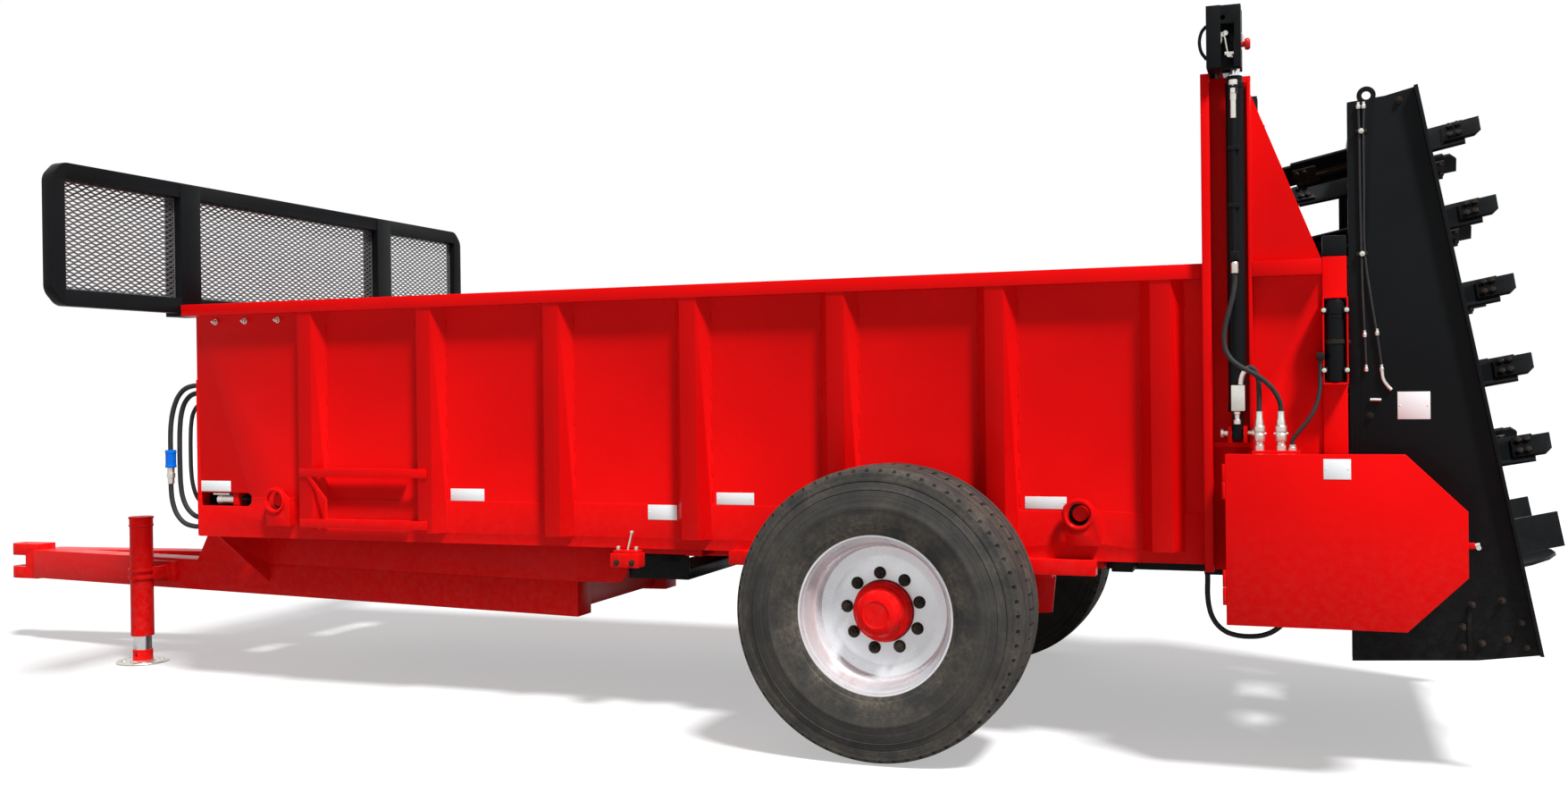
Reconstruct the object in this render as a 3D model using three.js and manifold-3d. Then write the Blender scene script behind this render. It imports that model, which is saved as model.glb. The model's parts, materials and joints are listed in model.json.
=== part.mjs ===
// Towed manure spreader with a single axle, an apron floor, a guillotine endgate and two upright
// beaters. Millimetres, +X to the tail, +Y to the machine's right, +Z up, ground at z = 0.
import * as THREE from "three";
import { mergeVertices } from "three/addons/utils/BufferGeometryUtils.js";
import Module from "manifold-3d";

const wasm = await Module();
wasm.setup();

// ---------------------------------------------------------------- driving dimensions
const FIT_GAP = 0.3;                 // between welded or bolted neighbours
const RUN_GAP = 6;                   // between a moving piece and its neighbour
const WELD_LAP = 2;                  // how far plates of one weldment run into each other
const PAST = 1;                      // how far a cutter runs past the face it cuts
const ROUND_SIDES = 24;
const WHEEL_SIDES = 40;

const TYRE_RADIUS = 548;
const TYRE_WIDTH = 424;
const TREAD_WIDTH = 376;
const RIM_FLANGE_RADIUS = 298.5;
const RIM_WIDTH = 356;
const RIM_SEAT_RADIUS = 288;
const RIM_WELL_RADIUS = 262;
const DISC_SETBACK = 130;            // disc face behind the outer rim flange
const DISC_THICKNESS = 12;
const DISC_BORE = 70;
const HUB_BASE_RADIUS = 114;
const HUB_CAP_RADIUS = 86;
const SPINDLE_RADIUS = 44;
const AXLE_HALF = 60;                // half the square axle beam
const TYRE_CLEARANCE = 79;           // box side to the tyre's inner wall

const BOX_FRONT = -3505;
const BOX_REAR = 1633;
const BOX_HALF = 780;
const SHEET = 6;
const SILL_THICKNESS = 4;
const BOX_OVER_AXLE = 168;           // underside of the box above the axle line
const BOX_DEPTH = 1104;
const SILL_HEIGHT = 187;
const RAIL_HEIGHT = 54;
const RAIL_OUT = 66;
const RAIL_OVERHANG = 30;
const FLOOR_RISE = 84;               // top of the floor above the box's underside
const FLOOR_THICKNESS = 26;
const APRON_CHAIN = 17;
const FRAME_DEPTH = 54;
const RAIL_PLANE = 520;              // outer face of the frame rails from the centre
const RAIL_WIDTH = 80;

const RIB_DEPTH = 60;
const RIB_FACE = 74;
const RIB_FLANK = 43;
const RIB_LIFT = 46;                 // foot of a rib above the box's underside
const RIB_PITCH = 641;
const FIRST_RIB = 671;               // first rib behind the box's front edge
const RIB_COUNT = 6;
const LAST_RIB = 153;                // last rib ahead of the gate tower

const TOWER_FRONT = 1143;
const TOWER_WIDTH = 170;
const TOWER_HEIGHT = 1800;
const TOWER_PLATE = 8;
const TOWER_DEPTH = 96;
const GUSSET_DROP = 68;              // top of the gusset below the tower's top

const GATE_SETBACK = 25;             // gate behind the tower's front edge
const GATE_THICKNESS = 8;
const GATE_OVER_RAIL = 46;
const HEADER_HEIGHT = 222;
const HEADER_DEPTH = 119;
const CYLINDER_SETBACK = 117;        // cylinder axis behind the tower's front edge
const CYLINDER_OFFSET = 62;          // cylinder axis outside the tower plate
const BARREL_RADIUS = 33;
const BARREL_LENGTH = 1210;
const ROD_RADIUS = 19;
const PIN_RADIUS = 14;
const PIN_RISE = 104;                // rod pin above the header's lower edge
const PIPE_RADIUS = 9;

const POST_FRONT = 1550;
const POST_PLATE = 14;
const HOUSING_DEPTH = 609;
const HOUSING_PLATE = 8;
const HOUSING_DROP = 318;            // foot of the housing below the box's underside
const HOUSING_HEIGHT = 1986;
const LEAN = Math.atan(0.1912);      // forward lean of the beaters and the housing's rear edge
const TAIL_RISE = 38;                // lower end of the leaning edge above the housing's foot

const BEATER_PLANE = 384;            // beater axes from the machine's centre
const BEATER_SETBACK = 150;          // beater axis ahead of the housing's rear edge
const BEATER_REACH = 364;
const BEATER_TUBE = 84;
const BEATER_SHAFT = 30;
const BEATER_DISC = 300;
const BEATER_LENGTH = 1690;
const ARM_LEVELS = 10;
const ARM_FIRST = 296;               // lowest arm above the beater's foot
const ARM_SPACING = 148;
const ARM_PITCH = 50;                // degrees
const ARM_WIDTH = 118;
const ARM_THICKNESS = 14;
const ARM_REACH = 306;
const ARM_ROOT = 14;                 // how far an arm runs into the tube
const BLADE_WIDTH = 86;
const BLADE_THICKNESS = 12;
const BLADE_LAP = 70;
const BLADE_CORNER = 24;
const PADDLE_BOTTOM = 60;
const PADDLE_TOP = 190;
const PADDLE_THICKNESS = 12;

const GUARD_FRONT = 1226;
const GUARD_LENGTH = 765;
const GUARD_HEIGHT = 593;
const GUARD_OVER_BOX = 420;          // top of the guard above the box's underside
const GUARD_CORNER = 187;
const GUARD_DEPTH = 260;
const GUARD_STANDOFF = 34;
const GUARD_SKIN = 5;
const GUARD_SHRINK = 10;             // guard body inside the cover's outline
const GUARD_COVER_LIP = 34;

const DRAWBAR_HEIGHT = 158;
const DRAWBAR_WIDTH = 127;
const NOSE_AHEAD = 1803;             // drawbar's nose ahead of the box
const DRAWBAR_TAIL = -1600;
const DRAWBAR_NOSE_HALF = 92;
const DRAWBAR_TAIL_HALF = 535;
const DECK_DEPTH = 134;              // side plates between the drawbar and the box
const CHEEK_LENGTH = 250;            // deck's cheeks behind the drawbar's tail
const CLEVIS_LENGTH = 226;
const CLEVIS_RADIUS = 62;
const HITCH_PIN_RADIUS = 20;

const JACK_BEHIND_NOSE = 1058;
const JACK_OFFSET = 159;             // jack axis outside the drawbar's outer face
const JACK_TUBE_RADIUS = 57;
const JACK_LEG_RADIUS = 44;
const JACK_DROP = 230;               // jack tube below the drawbar
const JACK_RISE = 192;               // jack tube above the drawbar
const JACK_FOOT_RADIUS = 130;

const SCREEN_AHEAD = 37;             // screen ahead of the box's front edge
const SCREEN_HALF = 1580;
const SCREEN_DROP = 38;              // lower bar below the rail's top
const SCREEN_HEIGHT = 621;
const SCREEN_TUBE = 58;              // bar depth along the machine
const SCREEN_BAR = 72;               // bar width across the screen
const SCREEN_CORNER = 62;
const SCREEN_POST_HALF = 64;
const SCREEN_MESH = 4;

const SHAFT_DROP = 22;               // power shaft's centre below the frame
const SHAFT_RADIUS = 22;
const TRANSFER_AHEAD = 66;           // transfer case ahead of the housing

const TRACTOR_HOSE_RADIUS = 12;
const HOSE_RADIUS = 10;
const LINE_RADIUS = 9;
const HOSE_STEPS = 26;
const PIPE_OUT = 50;                 // feed pipe outside the cylinder's axis
const CANISTER_X = 1592;
const CANISTER_RADIUS = 36;
const HOLDER_PLATE = 4;

// ---------------------------------------------------------------- places worked out from them
const WHEEL_PLANE = BOX_HALF + TYRE_CLEARANCE + TYRE_WIDTH / 2;
const BOX_BOTTOM = TYRE_RADIUS + BOX_OVER_AXLE;
const SILL_TOP = BOX_BOTTOM + SILL_HEIGHT;
const RAIL_TOP = BOX_BOTTOM + BOX_DEPTH;
const RAIL_BOTTOM = RAIL_TOP - RAIL_HEIGHT;
const FLOOR_TOP = BOX_BOTTOM + FLOOR_RISE;
const APRON_RETURN = BOX_BOTTOM + RUN_GAP;
const FRAME_BOTTOM = BOX_BOTTOM - FRAME_DEPTH;
const DRAWBAR_TOP = FRAME_BOTTOM - DECK_DEPTH;
const DRAWBAR_BOTTOM = DRAWBAR_TOP - DRAWBAR_HEIGHT;
const DRAWBAR_NOSE = BOX_FRONT - NOSE_AHEAD;
const JACK_X = DRAWBAR_NOSE + JACK_BEHIND_NOSE;
const SHAFT_HEIGHT = FRAME_BOTTOM - SHAFT_DROP;
const RIB_FIRST = BOX_FRONT + FIRST_RIB;
const RIB_LAST = TOWER_FRONT - LAST_RIB;
const TOWER_REAR = TOWER_FRONT + TOWER_WIDTH;
const TOWER_BOTTOM = BOX_BOTTOM - 16;
const TOWER_TOP = TOWER_BOTTOM + TOWER_HEIGHT;
const GATE_FRONT = TOWER_FRONT + GATE_SETBACK;
const HEADER_BOTTOM = TOWER_TOP + 10;
const CYLINDER_X = TOWER_FRONT + CYLINDER_SETBACK;
const CYLINDER_Y = -BOX_HALF - FIT_GAP - TOWER_PLATE - CYLINDER_OFFSET;
const BARREL_TOP = TOWER_TOP - 12;
const BARREL_BOTTOM = BARREL_TOP - BARREL_LENGTH;
const HOUSING_FRONT = BOX_REAR + RUN_GAP;
const HOUSING_TAIL = HOUSING_FRONT + HOUSING_DEPTH;
const HOUSING_BOTTOM = BOX_BOTTOM - HOUSING_DROP;
const HOUSING_TOP = HOUSING_BOTTOM + HOUSING_HEIGHT;
const BEATER_BASE = HOUSING_BOTTOM + 242;
const GUARD_REAR = GUARD_FRONT + GUARD_LENGTH;
const GUARD_TOP = BOX_BOTTOM + GUARD_OVER_BOX;
const GUARD_BOTTOM = GUARD_TOP - GUARD_HEIGHT;
const GUARD_INNER = -BOX_HALF - GUARD_STANDOFF;
const GUARD_OUTER = GUARD_INNER - GUARD_DEPTH;
const SCREEN_REAR = BOX_FRONT - SCREEN_AHEAD;
const SCREEN_FRONT = SCREEN_REAR - SCREEN_TUBE;
const SCREEN_BOTTOM = RAIL_TOP - SCREEN_DROP;
const SCREEN_TOP = SCREEN_BOTTOM + SCREEN_HEIGHT;
const SCREEN_POST_PLANE = BOX_HALF - 10;
const TAIL_FRAME_FRONT = TOWER_FRONT - 393;
const JACK_Y = -beamHalfAt(JACK_X) - JACK_OFFSET;
const PIPE_X = CYLINDER_X - 3;
const PIPE_Y = CYLINDER_Y - PIPE_OUT;
const PIPE_FOOT = RAIL_TOP - 36;
const PORTS = [1335, 1408, 1446];    // stubs on the guard's top
const PORT_TOP = BARREL_BOTTOM + 3;
const HOSE_HIGH = RAIL_TOP - 384;
const HOSE_LOW = BOX_BOTTOM + 41;
const CANISTER_Y = -BOX_HALF - POST_PLATE - HOLDER_PLATE - CANISTER_RADIUS - WELD_LAP;

const RED = 0xc80a0a;
const BLACK = 0x111214;
const SILVER = 0xc9ccd0;
const RUBBER = 0x2b2b2a;
const STEEL = 0x8d9196;
const BLUE = 0x1560c8;

// ---------------------------------------------------------------- solids
function solid(geometry) {
  const bare = geometry.clone();
  bare.deleteAttribute("normal");
  bare.deleteAttribute("uv");
  const merged = mergeVertices(bare, 1e-3);
  const points = merged.attributes.position.array;
  const corners = dropSlivers(merged.index.array);
  if (signedVolume(points, corners) < 0) {
    corners.reverse();
  }
  return new wasm.Manifold(new wasm.Mesh({
    numProp: 3,
    vertProperties: new Float32Array(points),
    triVerts: new Uint32Array(corners),
  }));
}

function dropSlivers(index) {
  const kept = [];
  for (let i = 0; i < index.length; i += 3) {
    const [a, b, c] = [index[i], index[i + 1], index[i + 2]];
    if (a !== b && b !== c && a !== c) {
      kept.push(a, b, c);
    }
  }
  return kept;
}

function signedVolume(points, corners) {
  const at = (i) => new THREE.Vector3().fromArray(points, 3 * i);
  let volume = 0;
  for (let i = 0; i < corners.length; i += 3) {
    const [a, b, c] = [at(corners[i]), at(corners[i + 1]), at(corners[i + 2])];
    volume += a.dot(b.cross(c)) / 6;
  }
  return volume;
}

function join(...pieces) {
  return pieces.flat().reduce((whole, piece) => whole.add(piece));
}

function cut(body, ...tools) {
  return tools.flat().reduce((left, tool) => left.subtract(tool), body);
}

function mirrored(body) {
  return body.mirror([0, 1, 0]);
}

function block([x0, x1], [y0, y1], [z0, z1]) {
  const box = new THREE.BoxGeometry(x1 - x0, y1 - y0, z1 - z0);
  box.translate((x0 + x1) / 2, (y0 + y1) / 2, (z0 + z1) / 2);
  return solid(box);
}

function outline(points) {
  return new THREE.Shape(points.map(([a, b]) => new THREE.Vector2(a, b)));
}

function extruded(points, depth) {
  return new THREE.ExtrudeGeometry(outline(points), { depth, bevelEnabled: false });
}

// Outline in X and Z, thickness along Y.
function plateXZ(points, [y0, y1]) {
  const plate = extruded(points, y1 - y0);
  plate.rotateX(Math.PI / 2);
  plate.translate(0, y1, 0);
  return solid(plate);
}

// Outline in X and Y, thickness along Z.
function plateXY(points, [z0, z1]) {
  const plate = extruded(points, z1 - z0);
  plate.translate(0, 0, z0);
  return solid(plate);
}

// Outline in Y and Z, thickness along X.
function plateYZ(points, [x0, x1]) {
  const plate = extruded(points, x1 - x0);
  const turn = new THREE.Matrix4().makeBasis(
    new THREE.Vector3(0, 1, 0), new THREE.Vector3(0, 0, 1), new THREE.Vector3(1, 0, 0));
  plate.applyMatrix4(turn);
  plate.translate(x0, 0, 0);
  return solid(plate);
}

function rod(from, to, radius, sides = 20) {
  const start = new THREE.Vector3(...from);
  const span = new THREE.Vector3(...to).sub(start);
  const bar = new THREE.CylinderGeometry(radius, radius, span.length(), sides);
  const up = new THREE.Vector3(0, 1, 0);
  bar.applyQuaternion(new THREE.Quaternion().setFromUnitVectors(up, span.clone().normalize()));
  bar.translate(...start.addScaledVector(span, 0.5).toArray());
  return solid(bar);
}

// Turned about a line along Y; the profile gives [radius, y].
function turned(profile, sides, [x, z]) {
  const closed = [...profile, profile[0]].map(([r, y]) => new THREE.Vector2(r, y));
  const wheel = new THREE.LatheGeometry(closed, sides);
  wheel.translate(x, 0, z);
  return solid(wheel);
}

function hose(points, radius, steps = 30, sides = 8) {
  const line = new THREE.CatmullRomCurve3(points.map((p) => new THREE.Vector3(...p)));
  const ring = [];
  for (let i = 0; i < sides; i += 1) {
    const angle = (2 * Math.PI * i) / sides;
    ring.push([radius * Math.cos(angle), radius * Math.sin(angle)]);
  }
  const settings = { steps, bevelEnabled: false, extrudePath: line };
  return solid(new THREE.ExtrudeGeometry(outline(ring), settings));
}

// ---------------------------------------------------------------- assembly
const parts = [];

function addNode(name, body, color, roughness = 0.5, metalness = 0.2) {
  parts.push({ name, body, color, roughness, metalness });
}

// The origin is under the middle of the whole machine, so every part shifts by half its span.
function middleX() {
  const lows = parts.map((part) => part.body.boundingBox().min[0]);
  const highs = parts.map((part) => part.body.boundingBox().max[0]);
  return Math.round((Math.min(...lows) + Math.max(...highs)) / 2);
}

function meshOf({ name, body, color, roughness, metalness }, shift) {
  const mesh = body.translate([-shift, 0, 0]).getMesh();
  const geometry = new THREE.BufferGeometry();
  geometry.setAttribute("position", new THREE.BufferAttribute(mesh.vertProperties, 3));
  geometry.setIndex(new THREE.BufferAttribute(mesh.triVerts, 1));
  geometry.computeVertexNormals();
  const material = new THREE.MeshStandardMaterial({ color, roughness, metalness });
  const node = new THREE.Mesh(geometry, material);
  node.name = name;
  return node;
}

function addPair(name, leftBody, color, roughness, metalness) {
  addNode(`left_${name}`, leftBody, color, roughness, metalness);
  addNode(`right_${name}`, mirrored(leftBody), color, roughness, metalness);
}

// ---------------------------------------------------------------- drawbar and frame
function beamHalfAt(x) {
  const share = (x - DRAWBAR_NOSE) / (DRAWBAR_TAIL - DRAWBAR_NOSE);
  return DRAWBAR_NOSE_HALF + share * (DRAWBAR_TAIL_HALF - DRAWBAR_NOSE_HALF);
}

// A bar that follows the drawbar's slanting outer face; out and in are measured from that face.
function alongBeam([x0, x1], [out, inner], heights) {
  return plateXY([
    [x0, -beamHalfAt(x0) - out], [x1, -beamHalfAt(x1) - out],
    [x1, -beamHalfAt(x1) + inner], [x0, -beamHalfAt(x0) + inner],
  ], heights);
}

function drawbar() {
  const heights = [DRAWBAR_BOTTOM, DRAWBAR_TOP];
  const left = alongBeam([DRAWBAR_NOSE, DRAWBAR_TAIL], [0, DRAWBAR_WIDTH], heights);
  const barWidth = 100;
  const barInset = 20;
  const crossbars = [BOX_FRONT - 575, BOX_FRONT + 205, DRAWBAR_TAIL - 160].map((x) => {
    const half = beamHalfAt(x) - 40;
    return block([x, x + barWidth], [-half, half], [DRAWBAR_BOTTOM + barInset, DRAWBAR_TOP - barInset]);
  });
  const nose = block([DRAWBAR_NOSE, DRAWBAR_NOSE + 120], [-DRAWBAR_NOSE_HALF, DRAWBAR_NOSE_HALF], heights);
  const jackY = -beamHalfAt(JACK_X);
  const jackPlate = block([JACK_X - 110, JACK_X + 110], [jackY - 45, jackY + 16],
    [DRAWBAR_BOTTOM + 40, DRAWBAR_TOP - 12]);
  return join(left, mirrored(left), crossbars, nose, jackPlate);
}

function clevis() {
  const [low, high] = [DRAWBAR_BOTTOM - 10, DRAWBAR_TOP + 28];
  const eyeX = DRAWBAR_NOSE - CLEVIS_LENGTH + CLEVIS_RADIUS;
  const body = block([eyeX, DRAWBAR_NOSE - FIT_GAP], [-CLEVIS_RADIUS, CLEVIS_RADIUS], [low, high]);
  const round = rod([eyeX, 0, low], [eyeX, 0, high], CLEVIS_RADIUS, 28);
  const mouth = block([eyeX - 70, eyeX + 70], [-80, 80], [low + 66, high - 65]);
  const pinHole = rod([eyeX, 0, low - PAST], [eyeX, 0, high + PAST], HITCH_PIN_RADIUS, ROUND_SIDES);
  return cut(join(body, round), mouth, pinHole);
}

// Side plates on the drawbar, the bars between them and the bulkhead under the box's front.
function drawbarDeck() {
  const low = DRAWBAR_TOP + FIT_GAP;
  const high = BOX_BOTTOM - FIT_GAP;
  const plate = 10;
  const front = BOX_FRONT - 495;
  const noseSlope = 110;
  const side = alongBeam([front, DRAWBAR_TAIL], [0, plate], [low, high]);
  const slope = plateXZ([
    [front - PAST, low], [front, low], [front + noseSlope, high + PAST], [front - PAST, high + PAST],
  ], [-beamHalfAt(DRAWBAR_TAIL), 0]);
  const left = cut(side, slope);
  const bulkhead = BOX_FRONT + 5;
  const wing = beamHalfAt(bulkhead);
  const beamSide = -beamHalfAt(bulkhead + plate) - FIT_GAP;
  const gusset = plateYZ([
    [-BOX_HALF + 100, high], [-wing + WELD_LAP, high], [-wing + WELD_LAP, low], [beamSide, low],
    [beamSide, low - 90],
  ], [bulkhead, bulkhead + plate]);
  const web = block([bulkhead, bulkhead + plate], [-wing + PAST, wing - PAST], [low, high]);
  const deckBar = (x) => {
    const half = beamHalfAt(x);
    return block([x, x + 90], [-half + PAST, half - PAST], [FRAME_BOTTOM + PAST, high]);
  };
  const barCount = 5;
  const barPitch = (DRAWBAR_TAIL - 90 - bulkhead) / barCount;
  const decks = [];
  for (let i = 1; i <= barCount; i += 1) {
    decks.push(deckBar(bulkhead + i * barPitch));
  }
  const shaftHole = rod([bulkhead - PAST, 0, SHAFT_HEIGHT], [bulkhead + plate + PAST, 0, SHAFT_HEIGHT],
    SHAFT_RADIUS + RUN_GAP, ROUND_SIDES);
  const frontPart = cut(join(left, mirrored(left), gusset, mirrored(gusset), web, decks), shaftHole);
  return join(frontPart, tailCheeks());
}

// Cheeks behind the drawbar's tail with a round lower corner.
function tailCheeks() {
  const high = BOX_BOTTOM - FIT_GAP;
  const shelfTop = FRAME_BOTTOM - FIT_GAP;
  const low = DRAWBAR_TOP + WELD_LAP;
  const front = DRAWBAR_TAIL;
  const rear = DRAWBAR_TAIL + CHEEK_LENGTH;
  const radius = 60;
  const corner = [0, 30, 60, 90].map((degrees) => {
    const angle = (degrees * Math.PI) / 180;
    return [rear - radius + radius * Math.sin(angle), low + radius - radius * Math.cos(angle)];
  });
  const half = DRAWBAR_TAIL_HALF;
  const lapped = front - WELD_LAP;
  const cheek = plateXZ([[lapped, low], ...corner, [rear, high], [lapped, high]], [-half, -half + 12]);
  const shelf = block([front, rear - 40], [-half + 10, half - 10], [shelfTop - 8, shelfTop]);
  const shaftSlot = block([front - PAST, rear], [-40, 40], [shelfTop - 20, shelfTop + PAST]);
  const closing = block([front, front + 10], [-half + 10, half - 10], [low + 60, shelfTop]);
  const shaftHole = rod([front - PAST, 0, SHAFT_HEIGHT], [front + 20, 0, SHAFT_HEIGHT],
    SHAFT_RADIUS + RUN_GAP, ROUND_SIDES);
  const bridge = block([front, front + 10], [-60, 60], [low + 30, low + 70]);
  return cut(join(cheek, mirrored(cheek), shelf, closing, bridge), shaftHole, shaftSlot);
}

// Dark cross member under the box, behind the deck's cheeks.
function stepBeam() {
  const front = DRAWBAR_TAIL + CHEEK_LENGTH + FIT_GAP;
  const rear = front + 290;
  const high = FRAME_BOTTOM - FIT_GAP;
  const low = DRAWBAR_TOP + 24;
  const half = DRAWBAR_TAIL_HALF - 15;
  const beam = block([rear - 180, rear], [-half, half], [low, low + 48]);
  const cheek = block([front, rear], [-half, -half + 12], [low, high]);
  return join(beam, cheek, mirrored(cheek));
}

// Two rails and their cross members behind the drawbar, under the apron's return run.
function mainFrame() {
  const high = BOX_BOTTOM - FIT_GAP;
  const front = DRAWBAR_TAIL + 14;
  const rear = TAIL_FRAME_FRONT - FIT_GAP;
  const rail = block([front, rear], [-RAIL_PLANE, -RAIL_PLANE + RAIL_WIDTH], [FRAME_BOTTOM, high]);
  const half = RAIL_PLANE + 120;
  const barWidth = 80;
  const spans = 4;
  const crossbars = [];
  for (let i = 1; i <= spans; i += 1) {
    const x = front + ((rear - barWidth - front) * i) / spans;
    crossbars.push(block([x, x + barWidth], [-half, half], [FRAME_BOTTOM + 10, high]));
  }
  return join(rail, mirrored(rail), crossbars);
}

// Dark end of the frame under the gate and the apron's turn.
function tailFrame() {
  const high = BOX_BOTTOM - FIT_GAP;
  const rear = BOX_REAR - 73;
  const rail = block([TAIL_FRAME_FRONT, rear], [-RAIL_PLANE - 40, -RAIL_PLANE + 60], [FRAME_BOTTOM, high]);
  const half = BOX_HALF - 46;
  const crossbars = [TAIL_FRAME_FRONT + 40, TAIL_FRAME_FRONT + 380, rear - 80].map((x) => (
    block([x, x + 80], [-half, half], [FRAME_BOTTOM + 10, high])));
  return join(rail, mirrored(rail), crossbars);
}

// ---------------------------------------------------------------- box
function ribOutline(centre) {
  const foot = RIB_FACE / 2 + RIB_FLANK;
  const face = RIB_FACE / 2;
  const skin = -BOX_HALF;
  return [
    [centre - foot, skin + WELD_LAP], [centre - foot, skin], [centre - face, skin - RIB_DEPTH],
    [centre + face, skin - RIB_DEPTH], [centre + foot, skin], [centre + foot, skin + WELD_LAP],
  ];
}

function ribCentres() {
  const centres = [];
  for (let i = 0; i < RIB_COUNT; i += 1) {
    centres.push(RIB_FIRST + i * RIB_PITCH);
  }
  return [...centres, RIB_LAST];
}

function boxSide() {
  const skin = -BOX_HALF;
  const sheet = block([BOX_FRONT, BOX_REAR], [skin, skin + SHEET], [BOX_BOTTOM, RAIL_BOTTOM + WELD_LAP]);
  const sill = block([BOX_FRONT, TOWER_FRONT - 3], [skin - SILL_THICKNESS, skin + WELD_LAP],
    [BOX_BOTTOM, SILL_TOP]);
  const railY = [skin - RAIL_OUT, skin + SHEET];
  const rail = block([BOX_FRONT - RAIL_OVERHANG, TOWER_FRONT - 1], railY, [RAIL_BOTTOM, RAIL_TOP]);
  const railEnd = block([TOWER_REAR + 1, POST_FRONT - 1], railY, [RAIL_BOTTOM, RAIL_TOP]);
  const ribHeights = [BOX_BOTTOM + RIB_LIFT, RAIL_BOTTOM + WELD_LAP];
  const ribs = ribCentres().map((x) => plateXY(ribOutline(x), ribHeights));
  const lugs = [tieLug(BOX_FRONT + 487), tieLug(BOX_FRONT + 4187)];
  return cut(join(sheet, sill, rail, railEnd, ribs, lugs), adjusterSlot());
}

// Open slot at the front of the side, where the apron's tension is set.
function adjusterSlot() {
  const skin = -BOX_HALF;
  const middle = BOX_BOTTOM + 178;
  const half = 31;
  const end = BOX_FRONT + 285;
  return join(
    block([BOX_FRONT + 18, end], [skin - 20, skin + 20], [middle - half, middle + half]),
    rod([end, skin - 20, middle], [end, skin + 20, middle], half, ROUND_SIDES));
}

// Plate with an eye that stands off the side, on a short shelf.
function tieLug(eyeX) {
  const skin = -BOX_HALF - SILL_THICKNESS;
  const eyeZ = BOX_BOTTOM + 179;
  const [eyeRadius, plateRadius] = [44, 64];
  const face = [skin - 46, skin - 32];
  const foot = BOX_BOTTOM + 62;
  const rear = eyeX + 82;
  const crown = [150, 120, 90, 60, 30].map((degrees) => {
    const angle = (degrees * Math.PI) / 180;
    return [eyeX + plateRadius * Math.cos(angle), eyeZ + plateRadius * Math.sin(angle)];
  });
  const plate = plateXZ([
    [eyeX - 46, foot], [rear, foot], [rear, eyeZ + 8], ...crown.reverse(),
    [eyeX - plateRadius, eyeZ], [eyeX - 52, eyeZ - 37],
  ], face);
  const shelf = block([eyeX - 30, rear - 6], [skin - 34, skin + WELD_LAP], [foot + 4, foot + 16]);
  const web = block([rear - 18, rear - 6], [skin - 34, skin + WELD_LAP], [foot + 14, eyeZ - 10]);
  const eye = rod([eyeX, skin - 50, eyeZ], [eyeX, skin - 30, eyeZ], eyeRadius, ROUND_SIDES);
  return cut(join(plate, shelf, web), eye);
}

// Backing box behind the slot, with the tension cylinder, its block and its bolt.
function chainTensioner() {
  const inner = -BOX_HALF + SHEET + FIT_GAP;
  const middle = BOX_BOTTOM + 178;
  const front = BOX_FRONT + SHEET + FIT_GAP;
  const pocket = [inner + 60, inner + 64];
  const back = block([front, front + 330], pocket, [middle - 48, middle + 48]);
  const ledge = block([front, front + 330], [inner, inner + 62], [middle + 44, middle + 48]);
  const y = inner + 30;
  const barrelEnd = front + 190;
  const cylinder = rod([front + 90, y, middle], [barrelEnd, y, middle], 25, ROUND_SIDES);
  const seat = block([barrelEnd - WELD_LAP, barrelEnd + 32], [inner + 4, inner + 61],
    [middle - 30, middle + 30]);
  const bolt = rod([barrelEnd + 30, y, middle], [barrelEnd + 126, y, middle], 9, 16);
  return join(back, ledge, cylinder, seat, bolt);
}

function frontWall() {
  const half = BOX_HALF - SHEET - FIT_GAP;
  const low = FLOOR_TOP + 40;
  const wall = block([BOX_FRONT, BOX_FRONT + SHEET], [-half, half], [low, RAIL_TOP]);
  const rail = block([BOX_FRONT - RAIL_OVERHANG, BOX_FRONT + PAST], [-half, half], [RAIL_BOTTOM, RAIL_TOP]);
  const stayDepth = 28;
  const stays = [-520, 0, 520].map((y) => (
    block([BOX_FRONT - stayDepth, BOX_FRONT + PAST], [y - 30, y + 30], [low, RAIL_TOP - 20])));
  return join(wall, rail, stays, hosePlate());
}

// Bracket on the front wall that holds both ends of the stowed hoses.
function hosePlate() {
  const plate = block([BOX_FRONT - 12, BOX_FRONT + PAST], [-BOX_HALF + 6.5, -BOX_HALF + 126],
    [HOSE_LOW - 34, HOSE_HIGH + 28]);
  return plate;
}

function floor() {
  const half = BOX_HALF - SHEET - FIT_GAP;
  const under = FLOOR_TOP - FLOOR_THICKNESS;
  const front = BOX_FRONT + 80;
  const rear = BOX_REAR - 93;
  const deck = block([front, rear], [-half, half], [under, FLOOR_TOP]);
  const low = APRON_RETURN + APRON_CHAIN + RUN_GAP;
  const width = 60;
  const spans = 7;
  const bearers = [];
  for (let i = 0; i <= spans; i += 1) {
    const x = front + 15 + ((rear - front - 250) * i) / spans;
    bearers.push(block([x, x + width], [-half, half], [low, under + PAST]));
  }
  return join(deck, bearers);
}

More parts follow.
